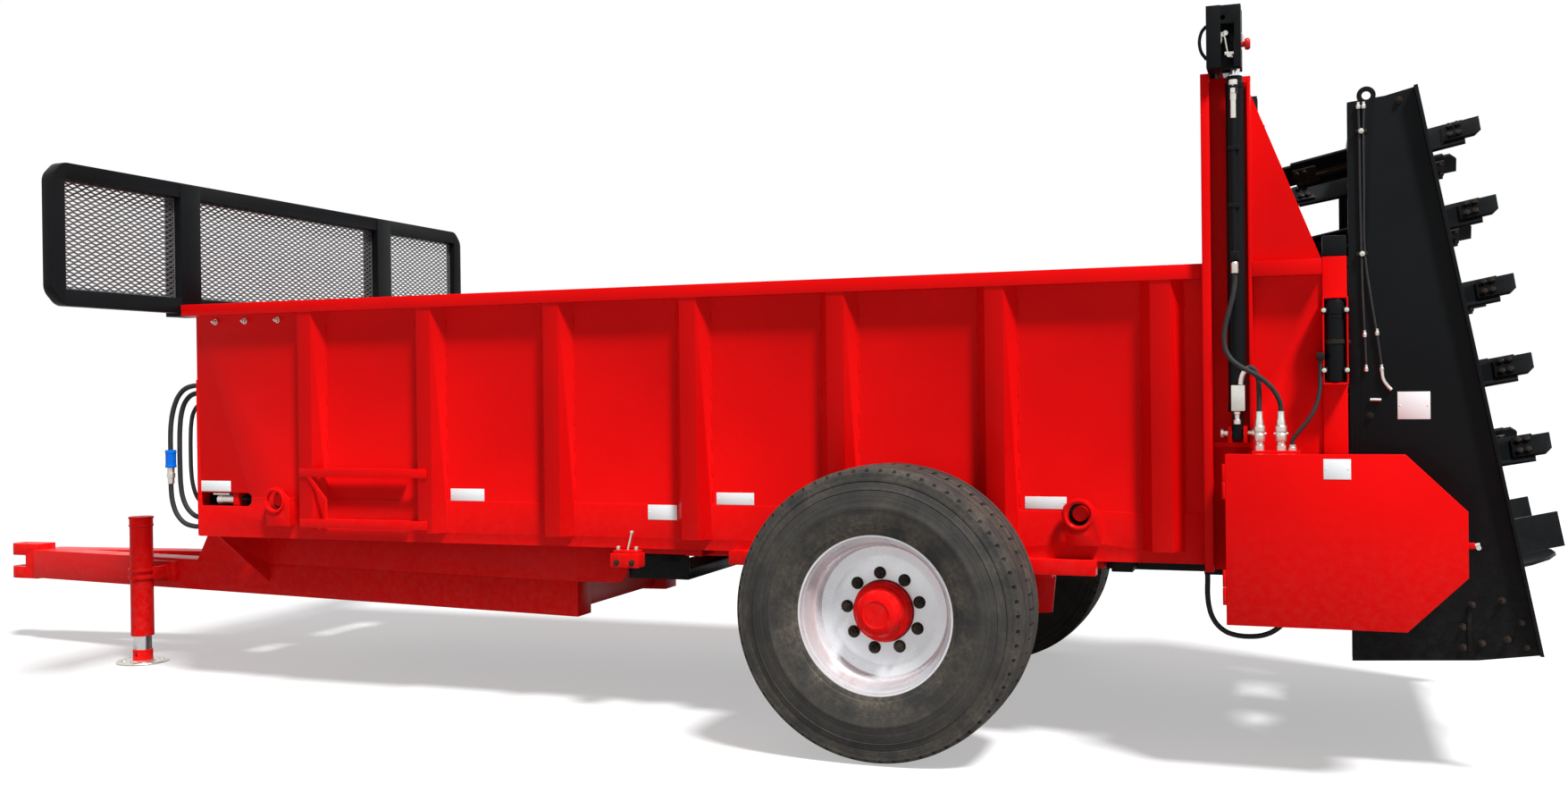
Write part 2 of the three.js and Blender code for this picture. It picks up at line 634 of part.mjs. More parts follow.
// Two chains joined by slats, running over the floor and back beneath it.
function apron() {
  const lift = 22;
  const top = FLOOR_TOP + lift;
  const bottom = APRON_RETURN;
  const front = BOX_FRONT + 14;
  const rear = BOX_REAR - 33;
  const radius = (top - bottom) / 2;
  const middle = (top + bottom) / 2;
  const turn = (centreX, start, inset) => {
    const points = [];
    for (let i = 0; i <= 8; i += 1) {
      const angle = start + (Math.PI * i) / 8;
      const reach = radius - inset;
      points.push([centreX + reach * Math.cos(angle), middle + reach * Math.sin(angle)]);
    }
    return points;
  };
  const band = (inset) => [
    ...turn(rear - radius, -Math.PI / 2, inset),
    ...turn(front + radius, Math.PI / 2, inset),
  ];
  const chain = (y) => cut(plateXZ(band(0), [y - 18, y + 18]), plateXZ(band(APRON_CHAIN), [y - 30, y + 30]));
  const half = BOX_HALF - SHEET - 39;
  const pitch = 410;
  const slats = [];
  for (let x = front + 160; x < rear - 100; x += pitch) {
    slats.push(block([x, x + 44], [-half, half], [top - APRON_CHAIN, top + 14]));
  }
  return join(chain(-430), chain(430), slats);
}

// Two rungs across the first two ribs, braced at the front.
function steps() {
  const left = RIB_FIRST - RIB_FACE / 2 + 6;
  const right = RIB_FIRST + RIB_PITCH + RIB_FACE / 2 - 24;
  const inner = -BOX_HALF - RIB_DEPTH - FIT_GAP;
  const outer = inner - 8;
  const height = 40;
  const upper = BOX_BOTTOM + 292;
  const lower = BOX_BOTTOM + 60;
  const tread = 30;
  const rung = (z) => join(
    block([left, right], [outer, inner], [z, z + height]),
    block([left + 110, right - 110], [inner - WELD_LAP, inner + tread], [z + height - 6, z + height]));
  const brace = plateXZ([
    [left + 42, upper + PAST], [left + 62, upper + PAST], [left + 150, lower + 130], [left + 150, lower + 90],
  ], [outer, inner]);
  const post = block([left + 138, left + 150], [outer, inner], [lower + 38, lower + 132]);
  return join(rung(upper), rung(lower), brace, post);
}

// ---------------------------------------------------------------- endgate and its towers
function tower() {
  const skin = -BOX_HALF - FIT_GAP;
  const outer = skin - TOWER_PLATE;
  const plate = plateXZ([
    [TOWER_FRONT, TOWER_BOTTOM], [TOWER_REAR, TOWER_BOTTOM], [TOWER_REAR, RAIL_TOP],
    [POST_FRONT, RAIL_TOP], [TOWER_REAR, TOWER_TOP - GUSSET_DROP], [TOWER_REAR, TOWER_TOP],
    [TOWER_FRONT, TOWER_TOP],
  ], [outer, skin]);
  const frontTube = block([TOWER_FRONT, TOWER_FRONT + 30], [outer - TOWER_DEPTH, outer + WELD_LAP],
    [TOWER_BOTTOM, TOWER_TOP]);
  const rearFlange = block([TOWER_REAR - 12, TOWER_REAR], [outer - 60, outer + WELD_LAP],
    [GUARD_TOP + 12, TOWER_TOP - 24]);
  const guide = (x) => block([x, x + 6], [skin - 1, skin + 76], [RAIL_TOP + RUN_GAP, TOWER_TOP]);
  const seatTop = BARREL_BOTTOM - 110;
  const seat = block([TOWER_FRONT + 20, TOWER_REAR - 7], [outer - 30, outer + WELD_LAP],
    [seatTop - 18, seatTop]);
  const lug = (x) => block([x, x + 14], [outer - 90, outer + WELD_LAP], [seatTop, seatTop + 60]);
  return join(plate, frontTube, rearFlange, guide(TOWER_FRONT), guide(GATE_FRONT + 26), seat,
    lug(CYLINDER_X - 34), lug(CYLINDER_X + 20));
}

// Lift cylinder with the steel pipe that feeds its upper end.
function barrel() {
  const y = CYLINDER_Y;
  const tube = rod([CYLINDER_X, y, BARREL_BOTTOM], [CYLINDER_X, y, BARREL_TOP], BARREL_RADIUS, ROUND_SIDES);
  const bore = rod([CYLINDER_X, y, BARREL_BOTTOM + 40], [CYLINDER_X, y, BARREL_TOP + 5],
    ROD_RADIUS + 0.5, ROUND_SIDES);
  const eye = block([CYLINDER_X - 19, CYLINDER_X + 19], [y - 20, y + 20],
    [BARREL_BOTTOM - 102, BARREL_BOTTOM + WELD_LAP]);
  const ports = [BARREL_TOP - 62, PIPE_FOOT + 40].map((z) => (
    block([PIPE_X - 14, PIPE_X + 14], [PIPE_Y - 12, y - 25], [z, z + 30])));
  const lowPort = block([CYLINDER_X - 1, CYLINDER_X + 27], [PIPE_Y - 12, y - 25],
    [BARREL_BOTTOM + 70, BARREL_BOTTOM + 99 - FIT_GAP]);
  const pipe = rod([PIPE_X, PIPE_Y, PIPE_FOOT], [PIPE_X, PIPE_Y, BARREL_TOP - 40], PIPE_RADIUS, 16);
  return join(cut(tube, bore), eye, ports, lowPort, pipe);
}

function liftRod() {
  const y = CYLINDER_Y;
  const eyeZ = HEADER_BOTTOM + PIN_RISE;
  const [eyeHalf, eyeRadius] = [16, 38];
  const shaft = rod([CYLINDER_X, y, BARREL_BOTTOM + 90], [CYLINDER_X, y, eyeZ - 34], ROD_RADIUS, ROUND_SIDES);
  const eye = rod([CYLINDER_X, y - eyeHalf, eyeZ], [CYLINDER_X, y + eyeHalf, eyeZ], eyeRadius, ROUND_SIDES);
  const hole = rod([CYLINDER_X, y - eyeHalf - PAST, eyeZ], [CYLINDER_X, y + eyeHalf + PAST, eyeZ],
    PIN_RADIUS + 0.5, 20);
  return cut(join(shaft, eye), hole);
}

function gatePanel() {
  const half = BOX_HALF - SHEET - RUN_GAP;
  const back = GATE_FRONT + GATE_THICKNESS;
  const low = FLOOR_TOP + 46;
  const high = RAIL_TOP + GATE_OVER_RAIL;
  const skin = block([GATE_FRONT, back], [-half, half], [low, high]);
  const stiffener = (z) => block([back - PAST, back + 12], [-half + 90, half - 90], [z, z + 60]);
  const stile = block([GATE_FRONT, back + 10], [-half, -half + 60], [low, HEADER_BOTTOM - FIT_GAP]);
  const levels = [low + 40, RAIL_TOP - 640, RAIL_TOP - 320, high - 60];
  return join(skin, levels.map(stiffener), stile, mirrored(stile));
}

function gateHeader() {
  const y = CYLINDER_Y;
  const heights = [HEADER_BOTTOM, HEADER_BOTTOM + HEADER_HEIGHT];
  const half = -y + 80;
  const beam = block([GATE_FRONT, GATE_FRONT + 50], [-half, half], heights);
  const cheek = (y0) => block([GATE_FRONT, GATE_FRONT + HEADER_DEPTH], [y0, y0 + 10], heights);
  const pinZ = HEADER_BOTTOM + PIN_RISE;
  const pin = rod([CYLINDER_X, y - 42, pinZ], [CYLINDER_X, y + 42, pinZ], PIN_RADIUS, 20);
  const end = join(cheek(y - 34), cheek(y + 24), pin);
  return join(beam, end, mirrored(end));
}

function rearPost() {
  const skin = -BOX_HALF - FIT_GAP;
  const long = [POST_FRONT + FIT_GAP, BOX_REAR];
  const seam = RAIL_TOP + 12;
  const post = block(long, [skin - POST_PLATE, skin], [TOWER_BOTTOM, seam]);
  const cap = block(long, [skin - POST_PLATE, skin + 50], [seam - PAST, seam + 74]);
  return join(post, cap);
}

// ---------------------------------------------------------------- beaters and their housing
function tailAt(height) {
  return HOUSING_TAIL + (HOUSING_BOTTOM + TAIL_RISE - height) * Math.tan(LEAN);
}

function beaterAxisAt(height) {
  return tailAt(height) - BEATER_SETBACK;
}

function housingSide() {
  const skin = -BOX_HALF;
  const tail = (z) => [tailAt(z), z];
  const [low, high] = [HOUSING_BOTTOM + TAIL_RISE, HOUSING_TOP + 34];
  const foldWidth = 12;
  const panel = plateXZ([
    [HOUSING_FRONT, HOUSING_BOTTOM - 12], [HOUSING_TAIL - 203, HOUSING_BOTTOM + 10], tail(low),
    tail(high), [tailAt(high) - 105, high - 26], [HOUSING_FRONT, HOUSING_TOP - 6],
  ], [skin, skin + HOUSING_PLATE]);
  const rearFold = plateXZ([
    tail(low), tail(high), [tailAt(high) - foldWidth, high - WELD_LAP], [tailAt(low) - foldWidth, low],
  ], [skin - 34, skin + WELD_LAP]);
  const frontFold = block([HOUSING_FRONT, HOUSING_FRONT + 10], [skin + PAST, skin + 30],
    [HOUSING_BOTTOM, HOUSING_TOP - 10]);
  const eyeAt = [HOUSING_FRONT + 64, HOUSING_TOP + 14];
  const eye = (radius, past) => rod([eyeAt[0], skin - past, eyeAt[1]],
    [eyeAt[0], skin + HOUSING_PLATE + past, eyeAt[1]], radius, ROUND_SIDES);
  return cut(join(panel, rearFold, frontFold, eye(32, 0)), eye(15, PAST));
}

function topBeam() {
  const half = BOX_HALF - HOUSING_PLATE - FIT_GAP;
  const low = BEATER_BASE + 1705;
  const x = beaterAxisAt(low + 27);
  return block([x - 70, x + 90], [-half, half], [low, low + 33]);
}

function gearcase() {
  const half = BOX_HALF - HOUSING_PLATE - FIT_GAP;
  const panTop = BEATER_BASE - 36;
  const panBottom = panTop - 14;
  const x = beaterAxisAt(BEATER_BASE - 100);
  const beam = block([x - 130, x + 120], [-half, half], [panBottom - 120, panBottom + PAST]);
  const pan = block([HOUSING_FRONT + 12, x + 120], [-half, half], [panBottom, panTop]);
  const drop = block([HOUSING_FRONT + 12, HOUSING_FRONT + 22], [-half, half], [panBottom - 110, panTop]);
  const transferCase = block([HOUSING_FRONT - TRANSFER_AHEAD, HOUSING_FRONT - 4], [-120, 120],
    [panBottom - 120, SHAFT_HEIGHT + 50]);
  const sleeveZ = panBottom - 58;
  const sleeve = rod([HOUSING_FRONT - 10, 0, sleeveZ], [x - 100, 0, sleeveZ], 42, 16);
  return join(beam, pan, drop, transferCase, sleeve);
}

// An arm in the beater's own upright frame: a pitched bar with a worn blade bolted along its tip.
function beaterArm(along, azimuth, hand) {
  const [halfArm, halfBlade] = [ARM_WIDTH / 2, BLADE_WIDTH / 2];
  const bar = block([BEATER_TUBE - ARM_ROOT, ARM_REACH], [-halfArm, halfArm], [0, ARM_THICKNESS]);
  const blade = plateXY([
    [ARM_REACH - BLADE_LAP, -halfBlade], [BEATER_REACH - BLADE_CORNER, -halfBlade],
    [BEATER_REACH, BLADE_CORNER - halfBlade], [BEATER_REACH, halfBlade],
    [ARM_REACH - BLADE_LAP, halfBlade],
  ], [ARM_THICKNESS - WELD_LAP, ARM_THICKNESS + BLADE_THICKNESS]);
  return join(bar, blade)
    .rotate([hand * ARM_PITCH, 0, 0])
    .rotate([0, 0, azimuth])
    .translate([0, 0, along]);
}

function beaterPaddle(azimuth) {
  const half = PADDLE_THICKNESS / 2;
  return block([BEATER_TUBE - ARM_ROOT, BEATER_REACH], [-half, half], [PADDLE_BOTTOM, PADDLE_TOP])
    .rotate([0, 0, azimuth]);
}

function uprightBeater(hand) {
  const tube = rod([0, 0, PADDLE_BOTTOM - 28], [0, 0, BEATER_LENGTH], BEATER_TUBE, 14);
  const shaft = rod([0, 0, 12], [0, 0, BEATER_LENGTH + 6], BEATER_SHAFT, 12);
  const disc = rod([0, 0, PADDLE_BOTTOM - 10], [0, 0, PADDLE_BOTTOM + WELD_LAP], BEATER_DISC, 18);
  const paddles = [17, 107, 197, 287].map(beaterPaddle);
  const arms = [];
  for (let level = 0; level < ARM_LEVELS; level += 1) {
    const along = ARM_FIRST + level * ARM_SPACING;
    const azimuth = hand * (90 * (level + 1) - 10);
    arms.push(beaterArm(along, azimuth, hand), beaterArm(along, azimuth + 180, hand));
  }
  return join(tube, shaft, disc, paddles, arms);
}

function placedBeater(side, hand) {
  const leanDegrees = (LEAN * 180) / Math.PI;
  return uprightBeater(hand)
    .simplify(0.05)
    .rotate([0, -leanDegrees, 0])
    .translate([beaterAxisAt(BEATER_BASE), side * BEATER_PLANE, BEATER_BASE]);
}

// ---------------------------------------------------------------- apron drive guard
function guardOutline(inset) {
  const [x0, x1] = [GUARD_FRONT + inset, GUARD_REAR - inset];
  const [z0, z1] = [GUARD_BOTTOM + inset, GUARD_TOP - inset];
  const corner = GUARD_CORNER - 0.41 * inset;
  return [
    [x0, z0], [x1 - corner, z0], [x1, z0 + corner],
    [x1, z1 - corner], [x1 - corner, z1], [x0, z1],
  ];
}

function guardBody() {
  const ring = cut(plateXZ(guardOutline(GUARD_SHRINK), [GUARD_OUTER, GUARD_INNER]),
    plateXZ(guardOutline(GUARD_SHRINK + GUARD_SKIN), [GUARD_OUTER - PAST, GUARD_INNER + PAST]));
  const back = plateXZ(guardOutline(GUARD_SHRINK + 2), [GUARD_INNER - GUARD_SKIN, GUARD_INNER]);
  return join(ring, back);
}

function guardCover() {
  const face = GUARD_OUTER - RUN_GAP;
  const frontGap = block([GUARD_FRONT - PAST, GUARD_FRONT + 5], [face, face + 60], [0, GUARD_TOP + PAST]);
  return cut(plateXZ(guardOutline(0), [face - 6, face + GUARD_COVER_LIP]),
    plateXZ(guardOutline(4), [face, face + 60]), frontGap);
}

function apronDrive() {
  const y = GUARD_INNER - GUARD_SKIN - FIT_GAP;
  const sprocket = [GUARD_FRONT + 294, GUARD_BOTTOM + 207];
  const motor = [GUARD_FRONT + 624, GUARD_BOTTOM + 287];
  const wheel = ([x, z], radius) => rod([x, y - 70, z], [x, y - 40, z], radius, ROUND_SIDES);
  const shaft = ([x, z]) => rod([x, y - 150, z], [x, y, z], 26, 16);
  const link = plateXZ([
    [sprocket[0], sprocket[1] - 110], [motor[0], motor[1] - 66],
    [motor[0], motor[1] + 66], [sprocket[0], sprocket[1] + 110],
  ], [y - 66, y - 44]);
  return join(wheel(sprocket, 120), shaft(sprocket), wheel(motor, 72), shaft(motor), link);
}

// ---------------------------------------------------------------- axle and wheels
function axleSeat() {
  const skin = -BOX_HALF - SILL_THICKNESS - FIT_GAP;
  const seatY = [-BOX_HALF + 64, -BOX_HALF + 80];
  const sillBottom = TYRE_RADIUS + 119;
  const sill = block([-736, 745], [skin - 60, skin], [sillBottom, sillBottom + 57]);
  const seat = plateXZ([
    [-577, sillBottom], [-560, TYRE_RADIUS - 43], [-120, TYRE_RADIUS - 70],
    [120, TYRE_RADIUS - 70], [560, TYRE_RADIUS - 43], [577, sillBottom],
  ], seatY);
  const cap = block([-577, 577], [skin - 30, seatY[1]], [sillBottom - 16, sillBottom + FIT_GAP]);
  const half = AXLE_HALF + FIT_GAP;
  const notch = block([-half, half], [seatY[0] - 4, seatY[1] + 4], [TYRE_RADIUS - half, TYRE_RADIUS + half]);
  return cut(join(sill, seat, cap), notch);
}

function axleBeam() {
  const z = TYRE_RADIUS;
  const beamHalf = BOX_HALF + 50;
  const beam = block([-AXLE_HALF, AXLE_HALF], [-beamHalf, beamHalf], [z - AXLE_HALF, z + AXLE_HALF]);
  const spindle = rod([0, -WHEEL_PLANE - 90, z], [0, WHEEL_PLANE + 90, z], SPINDLE_RADIUS, ROUND_SIDES);
  return join(beam, spindle);
}

function tyre() {
  const half = TYRE_WIDTH / 2;
  const bead = RIM_WIDTH / 2 - 13;
  const tread = TREAD_WIDTH / 2;
  const seat = RIM_SEAT_RADIUS + FIT_GAP;
  const wall = TYRE_RADIUS - RIM_SEAT_RADIUS;
  const flank = [
    [seat, bead], [RIM_FLANGE_RADIUS + 2, bead], [seat + 0.14 * wall, half - 10], [seat + 0.43 * wall, half],
    [seat + 0.7 * wall, half - 6], [TYRE_RADIUS - 20, tread], [TYRE_RADIUS, tread - 36],
  ];
  const profile = [...flank, ...flank.map(([r, y]) => [r, -y]).reverse()];
  return turned(profile, WHEEL_SIDES, [0, TYRE_RADIUS]).translate([0, -WHEEL_PLANE, 0]);
}

function rim() {
  const half = RIM_WIDTH / 2;
  const bead = half - 12.5;
  const seat = RIM_SEAT_RADIUS;
  const disc = -half + DISC_SETBACK;
  const profile = [
    [RIM_FLANGE_RADIUS, -half], [RIM_FLANGE_RADIUS, -bead - FIT_GAP], [seat, -bead - FIT_GAP],
    [seat, bead + FIT_GAP], [RIM_FLANGE_RADIUS, bead + FIT_GAP], [RIM_FLANGE_RADIUS, half],
    [seat - 10, half - 4], [seat - 14, 20], [RIM_WELL_RADIUS - 30, disc + DISC_THICKNESS],
    [DISC_BORE, disc + DISC_THICKNESS], [DISC_BORE, disc], [RIM_WELL_RADIUS - 30, disc],
    [RIM_WELL_RADIUS, disc - 30], [seat - 16, -half + 34],
  ];
  return turned(profile, WHEEL_SIDES, [0, TYRE_RADIUS]).translate([0, -WHEEL_PLANE, 0]);
}

function hub() {
  const half = RIM_WIDTH / 2;
  const disc = -half + DISC_SETBACK;
  const face = disc - FIT_GAP;
  const back = disc + DISC_THICKNESS + FIT_GAP;
  const bore = SPINDLE_RADIUS + 0.5;
  const neck = DISC_BORE - FIT_GAP;
  const drumRadius = 206;
  const drumDepth = 150;
  const nose = -half + 20;
  const profile = [
    [0, nose], [HUB_CAP_RADIUS - 16, nose], [HUB_CAP_RADIUS, nose + 14], [HUB_CAP_RADIUS, nose + 52],
    [96, nose + 60], [98, face - 22], [HUB_BASE_RADIUS, face - 16], [HUB_BASE_RADIUS, face],
    [neck, face], [neck, back], [168, back], [168, back + 18], [drumRadius, back + 20],
    [drumRadius, back + drumDepth], [bore, back + drumDepth], [bore, nose + 24], [0, nose + 24],
  ];
  return turned(profile, ROUND_SIDES, [0, TYRE_RADIUS]).translate([0, -WHEEL_PLANE, 0]);
}

// ---------------------------------------------------------------- jack
function jackTube() {
  const [low, high] = [DRAWBAR_BOTTOM - JACK_DROP, DRAWBAR_TOP + JACK_RISE];
  const upright = (z0, z1, radius) => rod([JACK_X, JACK_Y, z0], [JACK_X, JACK_Y, z1], radius, ROUND_SIDES);
  const beamFace = JACK_Y + JACK_OFFSET - 45 - FIT_GAP;
  const bracket = block([JACK_X - 80, JACK_X + 80], [JACK_Y + 30, beamFace],
    [DRAWBAR_BOTTOM + 60, DRAWBAR_TOP - 28]);
  const tube = join(upright(low, high, JACK_TUBE_RADIUS), upright(high - 4, high + 42, JACK_TUBE_RADIUS + 6));
  return cut(join(tube, bracket), upright(low - PAST, high - 14, JACK_LEG_RADIUS + 1));
}

function jackLeg() {
  const upright = (z0, z1, radius, sides) => (
    rod([JACK_X, JACK_Y, z0], [JACK_X, JACK_Y, z1], radius, sides));
  return join(
    upright(DRAWBAR_BOTTOM - 300, DRAWBAR_TOP + 112, JACK_LEG_RADIUS, ROUND_SIDES),
    upright(12, DRAWBAR_BOTTOM - 298, JACK_LEG_RADIUS + 6, ROUND_SIDES),
    upright(0, 14, JACK_FOOT_RADIUS, 28));
}

// ---------------------------------------------------------------- front screen
function screenFrame() {
  const corner = SCREEN_CORNER;
  const [y, z0, z1] = [SCREEN_HALF, SCREEN_BOTTOM, SCREEN_TOP];
  const edge = [
    [-y + corner, z0], [y - corner, z0], [y, z0 + corner], [y, z1 - corner],
    [y - corner, z1], [-y + corner, z1], [-y, z1 - corner], [-y, z0 + corner],
  ];
  const opening = block([SCREEN_FRONT - PAST, SCREEN_REAR + PAST], [-y + SCREEN_BAR, y - SCREEN_BAR],
    [z0 + SCREEN_BAR, z1 - SCREEN_BAR]);
  const ring = cut(plateYZ(edge, [SCREEN_FRONT, SCREEN_REAR]), opening);
  const postY = [-SCREEN_POST_PLANE - SCREEN_POST_HALF, -SCREEN_POST_PLANE + SCREEN_POST_HALF];
  const postRear = BOX_FRONT - RAIL_OVERHANG - FIT_GAP;
  const post = block([SCREEN_FRONT - 38, postRear], postY, [RAIL_BOTTOM, SCREEN_TOP - 6]);
  return join(ring, post, mirrored(post));
}

function screenMesh([y0, y1]) {
  const front = SCREEN_FRONT + 20;
  const inset = SCREEN_BAR + FIT_GAP;
  return block([front, front + SCREEN_MESH], [y0, y1], [SCREEN_BOTTOM + inset, SCREEN_TOP - inset]);
}

function screenMeshes() {
  const postOut = SCREEN_POST_PLANE + SCREEN_POST_HALF + FIT_GAP;
  const postIn = SCREEN_POST_PLANE - SCREEN_POST_HALF - FIT_GAP;
  addPair("screen_mesh", screenMesh([-SCREEN_HALF + SCREEN_BAR + FIT_GAP, -postOut]), STEEL);
  addNode("middle_screen_mesh", screenMesh([-postIn, postIn]), STEEL);
}

// ---------------------------------------------------------------- drive line, valve, canister
function driveline() {
  const front = BOX_FRONT - 395;
  const rear = HOUSING_FRONT - TRANSFER_AHEAD - RUN_GAP;
  return join(
    rod([front, 0, SHAFT_HEIGHT], [rear, 0, SHAFT_HEIGHT], SHAFT_RADIUS, 16),
    rod([front + 200, 0, SHAFT_HEIGHT], [front + 260, 0, SHAFT_HEIGHT], SHAFT_RADIUS + 12, 16));
}

function valveBlock() {
  const skin = -BOX_HALF - SILL_THICKNESS - FIT_GAP;
  const rear = TOWER_FRONT - 2286;
  const high = BOX_BOTTOM - 2;
  return join(
    block([rear - 131, rear], [skin - 70, skin], [high - 74, high]),
    rod([rear - 81, skin - 40, high - 2], [rear - 41, skin - 40, high + 79], 6, 12));
}

// Manual canister with the plate, shelves and hose clamp that carry it on the rear post.
function canister() {
  const back = -BOX_HALF - FIT_GAP - POST_PLATE - FIT_GAP;
  const long = [POST_FRONT + 2, BOX_REAR - 2];
  const [low, high] = [RAIL_TOP - 448, RAIL_TOP - 135];
  const plate = block(long, [back - HOLDER_PLATE, back], [low, high]);
  const shelfSpan = [CANISTER_X - 38, CANISTER_X + 38];
  const shelf = (z) => block(shelfSpan, [CANISTER_Y - 30, back - WELD_LAP], [z, z + 10]);
  const hoseBlock = block([POST_FRONT - 22, POST_FRONT + 6], [back - 82, back], [low + 90, low + 114]);
  const tube = rod([CANISTER_X, CANISTER_Y, low + 8], [CANISTER_X, CANISTER_Y, high - 8],
    CANISTER_RADIUS, ROUND_SIDES);
  return join(plate, shelf(low), shelf(high - 10), hoseBlock, tube);
}

// ---------------------------------------------------------------- hoses and lines
// Ports on the drive guard's top, with the pipe that feeds the cylinder's lower end.
function hosePorts() {
  const y = PIPE_Y;
  const base = GUARD_TOP - GUARD_SHRINK + FIT_GAP;
  const plate = block([PORTS[0] - 26, PORTS[2] + 26], [y - 24, y + 24], [base, base + 16]);
  const stub = (x, top) => rod([x, y, base + 14], [x, y, top], 15, 16);
  const pipe = hose([
    [PORTS[0], y, PORT_TOP - 10], [PORTS[0], y, PORT_TOP + 70], [PORTS[0] - 6, y, PORT_TOP + 128],
    [PORTS[0] - 30, y, PORT_TOP + 158], [PORTS[0] - 56, y, PORT_TOP + 134],
    [PORTS[0] - 62, y, PORT_TOP + 112], [PORTS[0] - 62, y, PORT_TOP + 104],
    [PORTS[0] - 62, y, PORT_TOP + 96],
  ], PIPE_RADIUS, 24);
  return join(plate, stub(PORTS[0], PORT_TOP), stub(PORTS[1], PORT_TOP), stub(PORTS[2], base + 36), pipe);
}

function greaseLines() {
  const y = -BOX_HALF - 9;
  const at = (dx, dz) => [HOUSING_FRONT + dx, y, HOUSING_TOP + dz];
  const front = hose([
    at(37, -30), at(39, -120), at(40, -300), at(43, -555), at(47, -730), at(52, -860), at(55, -950),
  ], 4.5, 16);
  const rear = hose([
    at(55, -30), at(53, -120), at(53, -300), at(55, -555), at(72, -700), at(95, -860), at(106, -950),
  ], 4.5, 16);
  const clampSpan = [HOUSING_FRONT + 26, HOUSING_FRONT + 66];
  const clamp = (z) => block(clampSpan, [y - 7, -BOX_HALF - FIT_GAP], [z, z + 14]);
  const foot = block([HOUSING_FRONT + 40, HOUSING_FRONT + 120], [y - 10, -BOX_HALF - FIT_GAP],
    [HOUSING_TOP - 990, HOUSING_TOP - 945]);
  return join(front, rear, clamp(HOUSING_TOP - 120), clamp(HOUSING_TOP - 555), foot);
}

// Route points of the free hoses, in millimetres; each starts and ends 0.3 mm off what holds it.
const HOSE_ROUTES = {
  tractor_hose_outer: [
    [-3517.3, -744, 1436], [-3537, -744, 1436], [-3557, -744, 1436], [-3610, -744, 1422],
    [-3652, -744, 1386], [-3681, -744, 1330], [-3698, -744, 1262], [-3704, -744, 1190],
    [-3704, -744, 1100], [-3704, -744, 1010], [-3704, -744, 925], [-3694, -744, 864],
    [-3668, -744, 810], [-3622, -744, 771], [-3561, -744, 757], [-3539, -744, 757],
    [-3517.3, -744, 757],
  ],
  tractor_hose_middle: [
    [-3517.3, -712, 1402], [-3537, -712, 1402], [-3557, -712, 1402], [-3606, -712, 1389],
    [-3643, -712, 1354], [-3665, -712, 1300], [-3675, -712, 1230], [-3678, -712, 1140],
    [-3678, -712, 1050], [-3675, -712, 960], [-3664, -712, 896], [-3637, -712, 843],
    [-3595, -712, 808], [-3557, -712, 797], [-3537, -712, 796], [-3517.3, -712, 796],
  ],
  tractor_hose_inner: [
    [-3517.3, -682, 1352], [-3535, -682, 1352], [-3552, -682, 1352], [-3592, -682, 1338],
    [-3620, -682, 1302], [-3633, -682, 1250], [-3638, -682, 1180], [-3639, -682, 1100],
    [-3637, -682, 1020], [-3628, -682, 955], [-3606, -682, 898], [-3571, -682, 862],
    [-3546, -682, 853], [-3532, -682, 851], [-3517.3, -682, 851],
  ],
  gate_hose: [
    [1257, -900, 1783.7], [1257, -900, 1765], [1257, -900, 1746], [1249, -902, 1692],
    [1235, -904, 1638], [1223, -906, 1588], [1218, -909, 1544], [1223, -913, 1504],
    [1241, -919, 1470], [1270, -926, 1444], [1305, -930, 1424], [1342, -926, 1400],
    [1374, -916, 1370], [1396, -907, 1336], [1407, -901, 1306], [1408, -900, 1293],
    [1408, -900, 1281.3],
  ],
  post_hose: [
    [1541, -862, 1461.7], [1541, -862, 1444], [1541, -862, 1426], [1540, -867, 1380],
    [1534, -876, 1332], [1521, -885, 1288], [1500, -893, 1250], [1477, -898, 1221],
    [1459, -900, 1198], [1448, -900, 1180], [1446, -900, 1171], [1446, -900, 1162.6],
  ],
  rear_hose: [
    [1128, -520, 661.7], [1128, -520, 642], [1128, -520, 622], [1127, -520, 575],
    [1131, -520, 530], [1142, -520, 488], [1163, -520, 453], [1195, -520, 428],
    [1235, -520, 416], [1284, -520, 414], [1330, -520, 421], [1370, -520, 440],
    [1402, -520, 470], [1423, -520, 510], [1433, -520, 558], [1436, -520, 622],
    [1436, -520, 642], [1436, -520, 661.7],
  ],
};
const SMALL_HOSE_RADIUS = 7;

function hoseRadius(name) {
  const radii = {
    tractor_hose_outer: TRACTOR_HOSE_RADIUS,
    tractor_hose_middle: TRACTOR_HOSE_RADIUS,
    gate_hose: LINE_RADIUS,
    post_hose: SMALL_HOSE_RADIUS,
  };
  return radii[name] ?? HOSE_RADIUS;
}

// Sleeve and plug half round the straight stretch of the outer tractor hose.
function hoseCoupler() {
  const [x, y] = HOSE_ROUTES.tractor_hose_outer[9];
  const upright = (z0, z1, radius) => rod([x, y, z0], [x, y, z1], radius, ROUND_SIDES);
  const sleeve = join(upright(1040, 1126, 26), upright(962, 1041, 20));
  return cut(sleeve, upright(950, 1140, TRACTOR_HOSE_RADIUS + 1));
}

